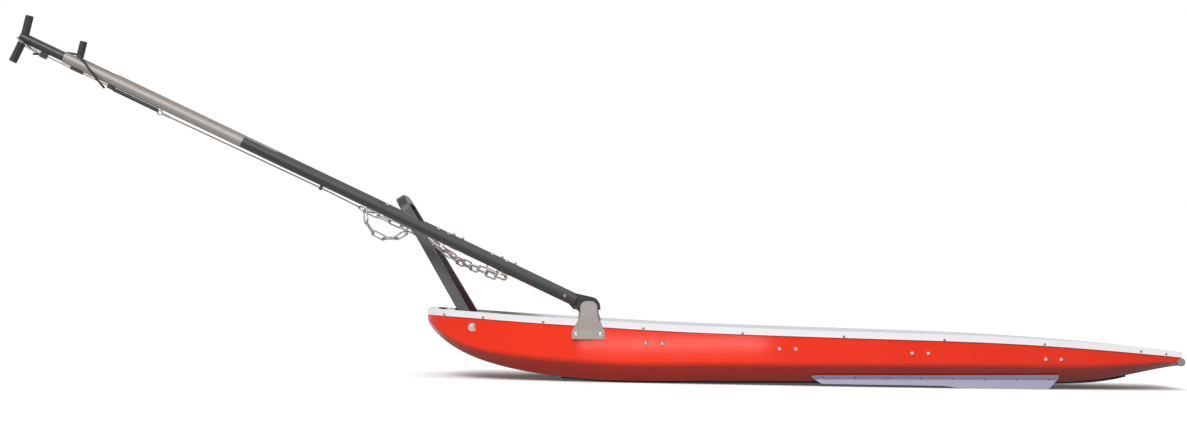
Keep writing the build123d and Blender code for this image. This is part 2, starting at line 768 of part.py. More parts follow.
with BuildPart() as u_bolts:
    for middle, legs in U_BOLTS:
        top = LOWER_TUBE[0] / 2 + U_BOLT_NUT + 2
        low = -LOWER_TUBE[0] / 2 - U_BOLT_DROP
        with BuildLine(handle_side(-LUG_Y)) as route:
            FilletPolyline(
                (middle - legs / 2, AXIS_RISE + top),
                (middle - legs / 2, AXIS_RISE + low),
                (middle + legs / 2, AXIS_RISE + low),
                (middle + legs / 2, AXIS_RISE + top),
                radius=3 * U_BOLT_RADIUS,
            )
        start = route.wire() @ 0
        with BuildSketch(Plane(start, z_dir=OFF_HANDLE)):
            Circle(U_BOLT_RADIUS)
        sweep(path=route.wire())
        for end in (-1, 1):
            seat = on_axis(middle + end * legs / 2, -LOWER_TUBE[0] / 2)
            with BuildSketch(Plane(seat, x_dir=UP_HANDLE, z_dir=OFF_HANDLE)):
                RegularPolygon(U_BOLT_NUT_RADIUS, 6)
            extrude(amount=U_BOLT_NUT)
side_pair(u_bolts, "u_bolts")

# ---------------------------------------------------------------- support hoop
hoop_lean = math.radians(HOOP_LEAN)
hoop_plane = Plane(
    origin=(HOOP_STATION - MIDDLE, 0, HOOP_Z),
    x_dir=(0, 1, 0),
    z_dir=(math.cos(hoop_lean), 0, math.sin(hoop_lean)),
)
taper = math.tan(math.radians(HOOP_TAPER))
with BuildPart() as support_hoop:
    head_half = HOOP_FOOT_HALF - HOOP_HEIGHT * taper
    toe_half = HOOP_FOOT_HALF + HOOP_TOE * taper
    with BuildLine(hoop_plane) as route:
        FilletPolyline(
            (-toe_half, -HOOP_TOE),
            (-head_half, HOOP_HEIGHT),
            (head_half, HOOP_HEIGHT),
            (toe_half, -HOOP_TOE),
            radius=HOOP_BEND,
        )
    path = route.wire()
    with BuildSketch(Plane(path @ 0, x_dir=hoop_plane.z_dir, z_dir=path % 0)):
        RectangleRounded(HOOP_TUBE, HOOP_TUBE, HOOP_CORNER)
        bore = HOOP_TUBE - 2 * HOOP_WALL
        RectangleRounded(bore, bore, HOOP_INNER_CORNER, mode=Mode.SUBTRACT)
    sweep(path=path)
    with Locations((HOOP_STATION - MIDDLE, 0, HOOP_Z)):
        Cylinder(HOOP_BOLT_RADIUS, HULL_BEAM, rotation=(90, 0, 0), mode=Mode.SUBTRACT)
finish(support_hoop, "support_hoop")

with BuildPart() as hoop_bolt:
    with BuildSketch(Plane.XZ.offset(SIDE_AT_HOOP + HOOP_WASHER_STAND)):
        with Locations((HOOP_STATION - MIDDLE, HOOP_Z)):
            Circle(HOOP_WASHER_RADIUS)
    extrude(amount=-HOOP_WASHER)
    with BuildSketch(Plane.XZ.offset(SIDE_AT_HOOP + HOOP_WASHER_STAND)):
        with Locations((HOOP_STATION - MIDDLE, HOOP_Z)):
            Circle(BOLT_HEAD_RADIUS)
    extrude(amount=HOOP_BOLT_HEAD, taper=HOOP_BOLT_HEAD_TAPER)
    with BuildSketch(Plane.XZ.offset(SIDE_AT_HOOP)):
        with Locations((HOOP_STATION - MIDDLE, HOOP_Z)):
            Circle(HOOP_BOLT_RADIUS)
    inner_face = HOOP_FOOT_HALF - HOOP_TUBE / 2
    extrude(amount=-(SIDE_AT_HOOP - inner_face + HOOP_BOLT_SPARE))
    with BuildSketch(Plane.XZ.offset(inner_face - HOOP_NUT_SEAT)):
        with Locations((HOOP_STATION - MIDDLE, HOOP_Z)):
            RegularPolygon(HOOP_NUT_RADIUS, 6)
    extrude(amount=-HOOP_NUT)
    add(hull_shell.part, mode=Mode.SUBTRACT)
side_pair(hoop_bolt, "hoop_bolt")

# ---------------------------------------------------------------- strap loops
def side_at(station, z):
    """Where the outside of the hull's side stands at a height."""
    sheer = at_station(SHEER, station)
    bilge = at_station(KEEL, station) + at_station(BILGE_RISE, station)
    return half_beam(station) - SIDE_FLARE * (sheer - z) / (sheer - bilge)


with BuildPart() as strap_loops:
    for station in LOOP_STATIONS:
        z = at_station(SHEER, station) - LOOP_DROP
        fore = station - LOOP_PITCH / 2
        aft = station + LOOP_PITCH / 2
        inner = side_at(station, z) - SHELL - LOOP_REACH
        level = Plane(origin=(-MIDDLE, 0, z), x_dir=(1, 0, 0), z_dir=(0, 0, 1))
        with BuildLine(level) as route:
            FilletPolyline(
                (fore, -side_at(fore, z)),
                (fore, -inner),
                (aft, -inner),
                (aft, -side_at(aft, z)),
                radius=LOOP_BEND,
            )
        with BuildSketch(Plane(route.wire() @ 0, z_dir=(0, 1, 0))):
            Circle(LOOP_RADIUS)
        sweep(path=route.wire())
        for bolt in (fore, aft):
            foot = Vector(bolt - MIDDLE, -side_at(bolt, z), z)
            with BuildSketch(Plane(foot + Vector(0, BOLT_SEAT, 0), z_dir=(0, -1, 0))):
                Circle(BOLT_HEAD_RADIUS)
            extrude(amount=BOLT_SEAT + BOLT_HEAD, taper=30)
            with BuildSketch(Plane(foot + Vector(0, SHELL - BOLT_SEAT, 0), z_dir=(0, 1, 0))):
                Circle(BOLT_HEAD_RADIUS)
            extrude(amount=BOLT_SEAT + WASHER)
    add(hull_shell.part, mode=Mode.SUBTRACT)
side_pair(strap_loops, "strap_loops")

# ---------------------------------------------------------------- brake pull and cable
with BuildPart() as pull_grip:
    with BuildSketch(Plane(on_axis(HANDLE_LENGTH, PULL_TOP), z_dir=-OFF_HANDLE)):
        Circle(GRIP_RADIUS)
    extrude(amount=PULL_LENGTH)
    fillet(pull_grip.edges().filter_by(GeomType.CIRCLE), 2.5)
finish(pull_grip, "pull_grip")

with BuildPart() as pull_yoke:
    reach = UPPER_TUBE[0] / 2 + 2 * YOKE_RADIUS
    near = on_axis(FERRULE_END - 2, ROD_DROP, -LUG_Y - 2)
    far = on_axis(FERRULE_END - 2, ROD_DROP, -LUG_Y + 2)
    with BuildLine() as route:
        FilletPolyline(
            near,
            on_axis(FERRULE_END + 18, 17, -LUG_Y - reach),
            on_axis(HANDLE_LENGTH + 8, 10, -LUG_Y - reach),
            on_axis(tip + 2 * YOKE_RADIUS + 2, 8, -LUG_Y - 12),
            on_axis(tip + 2 * YOKE_RADIUS + 2, 8, -LUG_Y + 12),
            on_axis(HANDLE_LENGTH + 8, 10, -LUG_Y + reach),
            on_axis(FERRULE_END + 18, 17, -LUG_Y + reach),
            far,
            radius=4,
        )
    path = route.wire()
    with BuildSketch(Plane(path @ 0, z_dir=path % 0)):
        Circle(YOKE_RADIUS)
    sweep(path=path)
    with BuildSketch(tube_end(FERRULE_END - 1, ROD_DROP + 1.5)):
        Circle(YOKE_RADIUS)
    extrude(amount=HANDLE_LENGTH - GRIP_RADIUS - FERRULE_END + 5)
    add(pull_grip.part, mode=Mode.SUBTRACT)
finish(pull_yoke, "pull_yoke")

with BuildPart() as brake_rod:
    with BuildSketch(tube_end(ROD_END, ROD_DROP)):
        Circle(ROD_RADIUS)
    extrude(amount=FERRULE_END - ROD_END)
    with BuildSketch(tube_end(ADJUSTER_START, ROD_DROP)):
        Circle(FERRULE_RADIUS - 1)
    extrude(amount=FERRULE_END - ADJUSTER_START)
    with BuildSketch(tube_end(FERRULE_END - 14, ROD_DROP)):
        Circle(FERRULE_RADIUS)
    extrude(amount=14)
    add(pull_yoke.part, mode=Mode.SUBTRACT)
finish(brake_rod, "brake_rod")

with BuildPart() as cable_guides:
    for start, end, below in GUIDES:
        low = ROD_DROP + below
        with BuildSketch(tube_end(start)):
            with Locations((0, low / 2)):
                Rectangle(GUIDE_WIDTH, low)
            Circle(ROD_RADIUS + SLIDE_GAP, mode=Mode.SUBTRACT)
            with Locations((0, ROD_DROP)):
                Circle(ROD_RADIUS + SLIDE_GAP, mode=Mode.SUBTRACT)
        extrude(amount=end - start)
    with BuildSketch(tube_end(HOOK_AT - 4)):
        with Locations((0, CABLE_DROP / 2)):
            Rectangle(2 * EYE_RADIUS - 4, CABLE_DROP)
        with Locations((0, CABLE_DROP)):
            Circle(EYE_RADIUS)
            Circle(EYE_RADIUS - 3, mode=Mode.SUBTRACT)
    extrude(amount=8)
    for start, end, radius in (
        (LOWER_START, LOWER_END, LOWER_TUBE[0] / 2),
        (LOWER_END, MIDDLE_END, MIDDLE_TUBE[0] / 2),
        (MIDDLE_END, tip, UPPER_TUBE[0] / 2),
    ):
        with BuildSketch(tube_end(start)):
            Circle(radius)
        extrude(amount=end - start, mode=Mode.SUBTRACT)
finish(cable_guides, "cable_guides")

with BuildPart() as cable_sleeve:
    with BuildSketch(tube_end(SLEEVE_END, SLEEVE_DROP)):
        Circle(SLEEVE_RADIUS)
    extrude(amount=ROD_END - SLEEVE_END)
finish(cable_sleeve, "cable_sleeve")

eye_at = SLEEVE_END - EYE_RADIUS - CABLE_RADIUS - SLIDE_GAP
cable_start = eye_at - EYE_RADIUS - THIMBLE
with BuildPart() as cable_eye:
    with Locations(handle_side(-LUG_Y) * Location((eye_at, AXIS_RISE - EYE_DROP, 0))):
        Torus(EYE_RADIUS, CABLE_RADIUS)
    with BuildSketch(tube_end(cable_start, EYE_DROP)):
        Circle(CABLE_RADIUS + 1.5)
    extrude(amount=THIMBLE)
finish(cable_eye, "cable_eye")


def at(place):
    """A point given as station, across and height."""
    return Vector(place[0] - MIDDLE, place[1], place[2])


lift_point = at(LIFT_POINT)
corner = on_axis(HOOK_AT - CABLE_BEND, CABLE_DROP)
to_ring = (lift_point - corner).normalized()
with BuildPart() as brake_cable:
    with BuildLine() as route:
        FilletPolyline(
            on_axis(cable_start, EYE_DROP),
            corner,
            lift_point - to_ring * (LIFT_RING + LINK_WIRE / 2 + SLIDE_GAP),
            radius=CABLE_BEND,
        )
    path = route.wire()
    with BuildSketch(Plane(path @ 0, z_dir=path % 0)):
        Circle(CABLE_RADIUS)
    sweep(path=path)
    add(cable_eye.part, mode=Mode.SUBTRACT)
finish(brake_cable, "brake_cable")

with BuildPart() as grip_cord:
    corners = 9
    with BuildLine() as route:
        points = []
        for i in range(corners):
            turn = 2 * math.pi * i / (corners - 1)
            coil = CORD_END_COIL if i in (0, corners - 1) else CORD_COIL
            below = coil * math.cos(turn)
            side = coil * math.sin(turn)
            along_handle = CORD_START + CORD_TURN * i / (corners - 1)
            points.append(on_axis(along_handle, below, -LUG_Y - side))
        FilletPolyline(*points, radius=22)
    path = route.wire()
    with BuildSketch(Plane(path @ 0, z_dir=path % 0)):
        Circle(CORD_RADIUS)
    sweep(path=path)
finish(grip_cord, "grip_cord")

# ---------------------------------------------------------------- brake chain
LINK_PITCH = LINK_LENGTH - 2 * LINK_WIRE
BOW = (LINK_WIDTH - LINK_WIRE) / 2
with BuildPart() as link:
    straight = LINK_LENGTH / 2 - LINK_WIRE / 2 - BOW
    with BuildSketch(Plane.YZ):
        with Locations((BOW, 0)):
            Circle(LINK_WIRE / 2)
    extrude(amount=straight, both=True)
    with BuildSketch(Plane.YZ.offset(straight)):
        with Locations((BOW, 0)):
            Circle(LINK_WIRE / 2)
    revolve(axis=Axis((straight, 0, 0), (0, 0, 1)), revolution_arc=-180)
    mirror(about=Plane.XZ)
    mirror(about=Plane.YZ)


def chain_strand(places, wide, wide_at_end):
    """The middle planes of the interlinked links between the first and last of some points.
    Each link is a quarter turn from the one before, and none is pulled further than its own
    inside length.  The strand twists evenly, so that its last link lies as its anchor needs."""
    guide = Spline(*places)
    count = math.ceil(guide.length / LINK_PITCH)
    joints = [guide.position_at(i / count) for i in range(count + 1)]
    ways = [(end - start).normalized() for start, end in zip(joints, joints[1:])]
    widths = []
    for way in ways:
        wide = (wide - way * wide.dot(way)).normalized()
        widths.append(wide)
        wide = way.cross(wide)
    last = widths[-1].cross(ways[-1])
    miss = math.atan2(wide_at_end.dot(last), wide_at_end.dot(widths[-1]))
    miss = math.remainder(miss, math.pi)
    planes = []
    for i in range(count):
        twist = -miss * i / (count - 1)
        side = ways[i].cross(widths[i])
        wide = widths[i] * math.cos(twist) + side * math.sin(twist)
        middle = (joints[i] + joints[i + 1]) * 0.5
        planes.append(Plane(middle, x_dir=ways[i], z_dir=ways[i].cross(wide)))
    return planes


def hold_of(wire, pull, tangent, thickness):
    """Where a strand's last link touches a ring: it reaches round the ring's wire, and
    further the more it is pulled askew."""
    slant = math.sqrt(1 - pull.dot(tangent) ** 2)
    return wire + pull * (((thickness + LINK_WIRE) / 2 + SLIDE_GAP) / slant - LINK_WIRE / 2)


def anchor_ring(side):
    """The middle of the ring that hangs from the U-bolt of a handle."""
    slack = ANCHOR_RING - U_BOLT_RADIUS - LINK_WIRE / 2 - SLIDE_GAP
    return on_axis(ANCHOR_AT, LOWER_TUBE[0] / 2 + U_BOLT_DROP + slack, side * LUG_Y)


first = (at(LEFT_STRAND[0]) - lift_point).normalized()
second = (at(RIGHT_STRAND[0]) - lift_point).normalized()
ring_axis = first.cross(second).normalized()
hold = LIFT_RING - LINK_WIRE / 2 - SLIDE_GAP
across_sled = Vector(0, 1, 0)
strands = []
for way, strand, side in ((first, LEFT_STRAND, -1), (second, RIGHT_STRAND, 1)):
    wire = anchor_ring(side) - OFF_HANDLE * ANCHOR_RING
    pull = (wire - at(strand[-1])).normalized()
    end = hold_of(wire, pull, across_sled, LINK_WIRE)
    places = [lift_point + way * hold] + [at(place) for place in strand] + [end]
    strands.append(chain_strand(places, ring_axis, across_sled.cross(pull)))

# the slack is a bight that hangs from the lift ring and is hooked back to the left strand
hitch = strands[0][HITCH_LINK]
down = hitch.y_dir if hitch.y_dir.Z < 0 else -hitch.y_dir
hitch_middle = hitch.origin + down * (BOW + HITCH_RING - (HITCH_WIRE + LINK_WIRE) / 2 - SLIDE_GAP)
wire = hitch_middle + down * HITCH_RING
tangent = hitch.x_dir.cross(down)
pull = (wire - at(SLACK_BIGHT[-1])).normalized()
third = (at(SLACK_BIGHT[0]) - lift_point).normalized()
in_ring = (third - ring_axis * third.dot(ring_axis)).normalized()
start = lift_point + in_ring * LIFT_RING - third * (LINK_WIRE / 2 + SLIDE_GAP)
end = hold_of(wire, pull, tangent, HITCH_WIRE)
places = [start] + [at(place) for place in SLACK_BIGHT] + [end]
start_wide = ring_axis.cross(in_ring).cross(third)
strands.append(chain_strand(places, start_wide, tangent.cross(pull)))

with BuildPart() as brake_chain:
    for strand in strands:
        for plane in strand:
            add(link.part.moved(plane.location))
finish(brake_chain, "brake_chain")

with BuildPart() as chain_rings:
    with Locations(Plane(lift_point, z_dir=ring_axis)):
        Torus(LIFT_RING, LINK_WIRE / 2)
    with Locations(Plane(hitch_middle, z_dir=hitch.x_dir)):
        Torus(HITCH_RING, HITCH_WIRE / 2)
    for side in (-1, 1):
        with Locations(Plane(anchor_ring(side), z_dir=UP_HANDLE)):
            Torus(ANCHOR_RING, LINK_WIRE / 2)
finish(chain_rings, "chain_rings")
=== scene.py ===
# %% [markdown]
# # A rescue sled
# This lesson dresses a finished mechanical model of a rescue sled: an open fibreglass hull on
# two aluminium fins, with a pair of long hinged handles, a support hoop and a chain brake.
# The model's parts arrive in metres and stay exactly where they are.  Each gets the finish of
# the real thing, and the rivets, screws and nuts that the model leaves out are added.

import json
import math

import bpy
from mathutils import Matrix, Vector


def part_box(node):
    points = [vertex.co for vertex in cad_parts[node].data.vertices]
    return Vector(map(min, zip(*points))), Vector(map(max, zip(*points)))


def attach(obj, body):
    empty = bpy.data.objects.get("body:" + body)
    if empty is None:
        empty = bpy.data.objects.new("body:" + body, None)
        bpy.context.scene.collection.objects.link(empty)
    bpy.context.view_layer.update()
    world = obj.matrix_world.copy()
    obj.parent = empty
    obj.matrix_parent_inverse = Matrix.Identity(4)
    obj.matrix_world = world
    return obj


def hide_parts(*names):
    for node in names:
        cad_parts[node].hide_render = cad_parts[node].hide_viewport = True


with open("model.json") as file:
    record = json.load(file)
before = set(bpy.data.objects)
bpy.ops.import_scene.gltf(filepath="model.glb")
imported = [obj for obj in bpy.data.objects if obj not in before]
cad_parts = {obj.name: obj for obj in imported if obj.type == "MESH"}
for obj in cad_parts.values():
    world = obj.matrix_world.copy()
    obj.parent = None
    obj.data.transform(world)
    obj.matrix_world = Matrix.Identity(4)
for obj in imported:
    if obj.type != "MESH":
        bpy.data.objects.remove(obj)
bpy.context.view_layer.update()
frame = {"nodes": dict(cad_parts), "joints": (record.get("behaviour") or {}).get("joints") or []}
nodes = frame["nodes"]
print("parts in the model:", len(nodes))

# %% [markdown]
# ## Places
# The sled is measured like a boat, in stations: the distance back from the nose.  The model's
# own nose gives the zero.  The handles are measured along their tubes from the hinges, whose
# places the model's joints give.  So two more directions are needed there: up along the
# handle, and off it at a right angle.

# %% stations and handle directions
MM = 0.001
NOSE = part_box("hull_shell")[0][0]
SIDES = {"left": -1, "right": 1}
INWARDS = {side: Vector((0, -way, 0)) for side, way in SIDES.items()}
HANDLE_SLOPE = math.radians(24.47)
UP_HANDLE = Vector((-math.cos(HANDLE_SLOPE), 0, math.sin(HANDLE_SLOPE)))
OFF_HANDLE = Vector((math.sin(HANDLE_SLOPE), 0, math.cos(HANDLE_SLOPE)))
HINGE = {joint["child"]: Vector(joint["pos_m"]) for joint in frame["joints"]}
HINGE_STATION = (HINGE["handle_left"].x - NOSE) / MM


def at_station(station_mm, across_mm, height_mm):
    """A point of the sled, from its station, its distance to the right, and its height."""
    return Vector((NOSE + station_mm * MM, across_mm * MM, height_mm * MM))


def on_handle(body, up_mm, off_mm):
    """A point of a handle, from its distances up the handle from the hinge, and off it."""
    return HINGE[body] + (UP_HANDLE * up_mm + OFF_HANDLE * off_mm) * MM


print("station of the hinges, mm:", round(HINGE_STATION, 1))

# %% [markdown]
# ## Camera
# The sled is seen square from its left side, from far enough away that its length hardly
# foreshortens.  A longish lens six metres off does that.  The camera stands low, as someone
# crouching would, tips up a little and is a degree off level.

# %% camera
LENS_MM = 56.105
SENSOR_MM = 36.0
HEADING = math.radians(0.2166)  # to the left of square
TIP_UP = math.radians(2.187)
OFF_LEVEL = math.radians(1.014)
CAMERA_STATION, CAMERA_ACROSS, CAMERA_HEIGHT = 543.0, -5988.2, 295.9
camera_data = bpy.data.cameras.new("camera")
camera_data.lens = LENS_MM
camera_data.sensor_width = SENSOR_MM
camera_data.sensor_fit = "HORIZONTAL"
camera = bpy.data.objects.new("camera", camera_data)
bpy.context.scene.collection.objects.link(camera)
stand = Matrix.Translation(at_station(CAMERA_STATION, CAMERA_ACROSS, CAMERA_HEIGHT))
heading = Matrix.Rotation(HEADING, 4, "Z")
tip_up = Matrix.Rotation(math.radians(90) + TIP_UP, 4, "X")
off_level = Matrix.Rotation(OFF_LEVEL, 4, "Z")
camera.matrix_world = stand @ heading @ tip_up @ off_level
bpy.context.scene.camera = camera
bpy.context.scene.view_settings.view_transform = "Standard"
print("camera height:", round(camera.matrix_world.translation.z, 3))

# %% [markdown]
# ## Small helpers for finishes
# A finish is a small net of nodes that feeds one shader.  One helper adds any node, sets its
# values and plugs in its links, so each recipe reads as a list of what it is made of.  One
# turns a screen colour into the linear light that the shader counts in, and one starts a
# finish with its plain colour, roughness and share of metal.


# %% helpers for finishes
def linear(hex_colour):
    """A screen colour such as E8390F as linear red, green, blue and a full alpha."""
    levels = [int(hex_colour[i : i + 2], 16) / 255 for i in (0, 2, 4)]
    light = [v / 12.92 if v <= 0.04045 else ((v + 0.055) / 1.055) ** 2.4 for v in levels]
    return (*light, 1.0)


def add_node(material, kind, settings=None, links=None):
    """Adds a node.  A setting names a socket, by name or number, or one of the node's choices;
    a link names a socket and gives the output that feeds it."""
    node = material.node_tree.nodes.new(kind)
    for name, value in (settings or {}).items():
        if isinstance(name, int) or name in node.inputs:
            node.inputs[name].default_value = value
        else:
            setattr(node, name, value)
    for name, source in (links or {}).items():
        material.node_tree.links.new(source, node.inputs[name])
    return node


def new_finish(name, colour, roughness, metallic=0.0):
    """A material with one shader, and that shader."""
    material = bpy.data.materials.new(name)
    material.use_nodes = True
    shader = material.node_tree.nodes["Principled BSDF"]
    shader.inputs["Base Color"].default_value = linear(colour)
    shader.inputs["Roughness"].default_value = roughness
    shader.inputs["Metallic"].default_value = metallic
    return material, shader


print("an orange in linear light:", [round(v, 3) for v in linear("E8390F")])

# %% [markdown]
# ## What a pattern does to a finish
# No real surface is even.  A pattern is a number that runs from nought to one over the
# surface, and the same pattern can drive three things: the colour, how rough the surface is,
# and its relief.  Relief is bump, which tips the light as fine grooves would and needs no
# geometry.

# %% colour, polish and relief
FACTOR, COLOUR_A, COLOUR_B = 0, 6, 7  # inputs of a mix node that mixes colours
MIXED = 2  # and its output


def tint(material, shader, amount, light, dark):
    """The shader's colour runs between two close colours as a pattern rises and falls."""
    mix = add_node(
        material,
        "ShaderNodeMix",
        {"data_type": "RGBA", COLOUR_A: linear(dark), COLOUR_B: linear(light)},
        {FACTOR: amount},
    )
    material.node_tree.links.new(mix.outputs[MIXED], shader.inputs["Base Color"])


def polish(material, shader, amount, smooth, rough):
    """The shader's roughness runs between two values as a pattern rises and falls."""
    spread = add_node(
        material,
        "ShaderNodeMapRange",
        {"To Min": smooth, "To Max": rough},
        {"Value": amount},
    )
    material.node_tree.links.new(spread.outputs["Result"], shader.inputs["Roughness"])


def relief(material, shader, height, depth_mm, strength=1.0):
    """The surface seems to rise and fall with a pattern, by this depth."""
    bump = add_node(
        material,
        "ShaderNodeBump",
        {"Strength": strength, "Distance": depth_mm * MM},
        {"Height": height},
    )
    material.node_tree.links.new(bump.outputs["Normal"], shader.inputs["Normal"])


print("inputs of a mix node for colours:", FACTOR, COLOUR_A, COLOUR_B)

# %% [markdown]
# ## Two patterns
# Nearly every finish here is grain or streaks.  Grain is noise of a real size.  Streaks are
# the same noise drawn out along the way that a tool, a die or the snow went.


# %% grain and streaks
def scale_for(size_mm):
    """The scale of a pattern whose grains are this many millimetres wide."""
    return 1 / (size_mm * MM)


def lines_along(material, length_mm, width_mm, turn=0.0, axis="X"):
    """Streaks that run along one axis of the sled.  They are noise, stretched from the width
    of a streak to its length.  An angle turns them about the cross axis, up or down a slope."""
    where = add_node(material, "ShaderNodeTexCoord")
    sloped = add_node(
        material,
        "ShaderNodeVectorRotate",
        {"rotation_type": "Y_AXIS", "Angle": turn},
        {"Vector": where.outputs["Object"]},
    )
    stretch = [scale_for(length_mm) if letter == axis else scale_for(width_mm) for letter in "XYZ"]
    squeezed = add_node(
        material,
        "ShaderNodeMapping",
        {"Scale": stretch},
        {"Vector": sloped.outputs["Vector"]},
    )
    return add_node(
        material,
        "ShaderNodeTexNoise",
        {"Scale": 1.0, "Detail": 3.0},
        {"Vector": squeezed.outputs["Vector"]},
    ).outputs["Fac"]


def grain(material, size_mm, detail=2.0):
    """Even noise, fixed to the part, with grains of this size."""
    where = add_node(material, "ShaderNodeTexCoord")
    return add_node(
        material,
        "ShaderNodeTexNoise",
        {"Scale": scale_for(size_mm), "Detail": detail},
        {"Vector": where.outputs["Object"]},
    ).outputs["Fac"]


print("grains of 2 mm need a scale of:", round(scale_for(2.0)))

# %% [markdown]
# ## Gel coat over fibreglass
# The hull is laid up in a polished mould.  A pigmented polyester gel coat goes in first, so
# the outside comes out as glossy as the mould, with only a faint ripple.  The inside is never
# against a mould: the weave of the woven roving shows through its coat, and it is duller.
# One material can do both, because the inside faces the middle of the open tub.  The dot
# product of the surface's direction and the way out from a line over the tub tells them apart.

# %% gel coat, and which side of the laminate is the inside
LINE_OVER_TUB = (0.0, 0.0, 0.6)  # a point of the line, which runs along the sled
ACROSS_AND_UP = (0.0, 1.0, 1.0)
gel_coat, gel_shader = new_finish("gel_coat_on_fibreglass", "F82A00", 0.1)
gel_shader.inputs["IOR"].default_value = 1.5
gel_shader.inputs["Specular IOR Level"].default_value = 0.25
hull_place = add_node(gel_coat, "ShaderNodeTexCoord")
from_line = add_node(
    gel_coat,
    "ShaderNodeVectorMath",
    {"operation": "SUBTRACT", 1: LINE_OVER_TUB},
    {0: hull_place.outputs["Object"]},
)
way_out = add_node(
    gel_coat,
    "ShaderNodeVectorMath",
    {"operation": "MULTIPLY", 1: ACROSS_AND_UP},
    {0: from_line.outputs["Vector"]},
)
facing = add_node(
    gel_coat,
    "ShaderNodeVectorMath",
    {"operation": "DOT_PRODUCT"},
    {0: way_out.outputs["Vector"], 1: hull_place.outputs["Normal"]},
)
inside = add_node(
    gel_coat,
    "ShaderNodeMath",
    {"operation": "LESS_THAN", 1: 0.0},
    {0: facing.outputs["Value"]},
)
print("nodes that tell the inside from the outside:", len(gel_coat.node_tree.nodes) - 2)

# %% [markdown]
# ## The weave on the inside
# Woven roving is flat tows that cross at a right angle.  Two sets of bands, one along the sled
# and one across it, multiplied together give its raised squares.  They are kept to the inside,
# and a faint ripple much broader than a tow is added on both sides.

# %% weave and ripple
ROVING_MM = 7.0  # one tow of the woven roving, drawn a little coarse so that it shows
RIPPLE_MM = 45.0
RIPPLE_SHARE = 0.12  # of the weave's height


def wave_scale_for(pitch_mm):
    """The scale of a wave node whose bands repeat at this pitch.  The node runs through 20
    radians of its wave in one unit."""
    return scale_for(pitch_mm * 20 / math.tau)


tows = []
for direction in ("X", "Y"):
    tows.append(
        add_node(
            gel_coat,
            "ShaderNodeTexWave",
            {
                "bands_direction": direction,
                "Scale": wave_scale_for(ROVING_MM),
                "Distortion": 1.5,
                "Detail": 1.0,
                "Detail Scale": 0.6,
            },
            {"Vector": hull_place.outputs["Object"]},
        )
    )
weave = add_node(
    gel_coat,
    "ShaderNodeMath",
    {"operation": "MULTIPLY"},
    {0: tows[0].outputs["Fac"], 1: tows[1].outputs["Fac"]},
)
woven_inside = add_node(
    gel_coat,
    "ShaderNodeMath",
    {"operation": "MULTIPLY"},
    {0: weave.outputs["Value"], 1: inside.outputs["Value"]},
)
ripple = add_node(
    gel_coat,
    "ShaderNodeMath",
    {"operation": "MULTIPLY_ADD", 1: RIPPLE_SHARE},
    {0: grain(gel_coat, RIPPLE_MM, 1.0), 2: woven_inside.outputs["Value"]},
)
relief(gel_coat, gel_shader, ripple.outputs["Value"], 0.5, 0.5)
print("wave scale for the tows:", round(wave_scale_for(ROVING_MM), 1))

# %% [markdown]
# ## Gloss and colour of the coat
# The outside is polished and the inside is duller, with some places rubbed more than others.
# A coat this saturated is nearly one colour; broad clouds keep it from looking like plastic.

# %% gloss and colour
RUBBED_MM = 90.0
CLOUD_MM = 160.0
INSIDE_DULLNESS = 0.85  # of the way from polished to dull
dullness = add_node(
    gel_coat,
    "ShaderNodeMath",
    {"operation": "MULTIPLY_ADD", 1: INSIDE_DULLNESS},
    {0: inside.outputs["Value"], 2: grain(gel_coat, RUBBED_MM)},
)
polish(gel_coat, gel_shader, dullness.outputs["Value"], 0.08, 0.2)
tint(gel_coat, gel_shader, grain(gel_coat, CLOUD_MM, 3.0), "FA3000", "F02600")
print("gel coat nodes:", len(gel_coat.node_tree.nodes))

# %% [markdown]
# ## Aluminium, three ways
# The rim trim is an extrusion with the mill's finish: bright, with fine die lines along it.
# The fins and hinge brackets are cut from sheet and brushed.  The fins are scuffed and
# oxidised too, so part of their skin scatters light as paint does, and they are less than
# fully metallic.  The middle handle tubes are drawn and anodised, which leaves a satin,
# slightly warm grey.  Each has streaks of its own length, width and direction.

# %% aluminium finishes
DIE_LINE_MM = 1.5  # real die lines are a tenth of this, too fine to show from here
mill_aluminium, shader = new_finish("mill_finish_aluminium", "D6D7DB", 0.12, 1.0)
streaks = lines_along(mill_aluminium, 300.0, DIE_LINE_MM)
tint(mill_aluminium, shader, streaks, "DFE0E4", "CCCDD1")
polish(mill_aluminium, shader, streaks, 0.08, 0.15)
relief(mill_aluminium, shader, streaks, 0.012, 0.4)

fin_plate, shader = new_finish("brushed_fin_plate", "A6A5BA", 0.45, 0.6)
streaks = lines_along(fin_plate, 60.0, 1.2)
tint(fin_plate, shader, streaks, "B2B1C6", "9A99AE")
polish(fin_plate, shader, streaks, 0.4, 0.6)
relief(fin_plate, shader, streaks, 0.05, 0.4)

bracket_plate, shader = new_finish("brushed_bracket_plate", "989490", 0.4, 1.0)
streaks = lines_along(bracket_plate, 40.0, 1.0, axis="Z")
tint(bracket_plate, shader, streaks, "A39F9B", "8A8581")
polish(bracket_plate, shader, streaks, 0.28, 0.48)
relief(bracket_plate, shader, streaks, 0.04, 0.4)

anodised_tube, shader = new_finish("satin_anodised_tube", "8A8480", 0.58, 1.0)
streaks = lines_along(anodised_tube, 200.0, 1.5, turn=-HANDLE_SLOPE)
tint(anodised_tube, shader, streaks, "928C88", "807A76")
polish(anodised_tube, shader, streaks, 0.5, 0.66)
relief(anodised_tube, shader, streaks, 0.03, 0.3)
aluminiums = (mill_aluminium, fin_plate, bracket_plate, anodised_tube)
print("aluminium finishes:", ", ".join(finish.name for finish in aluminiums))
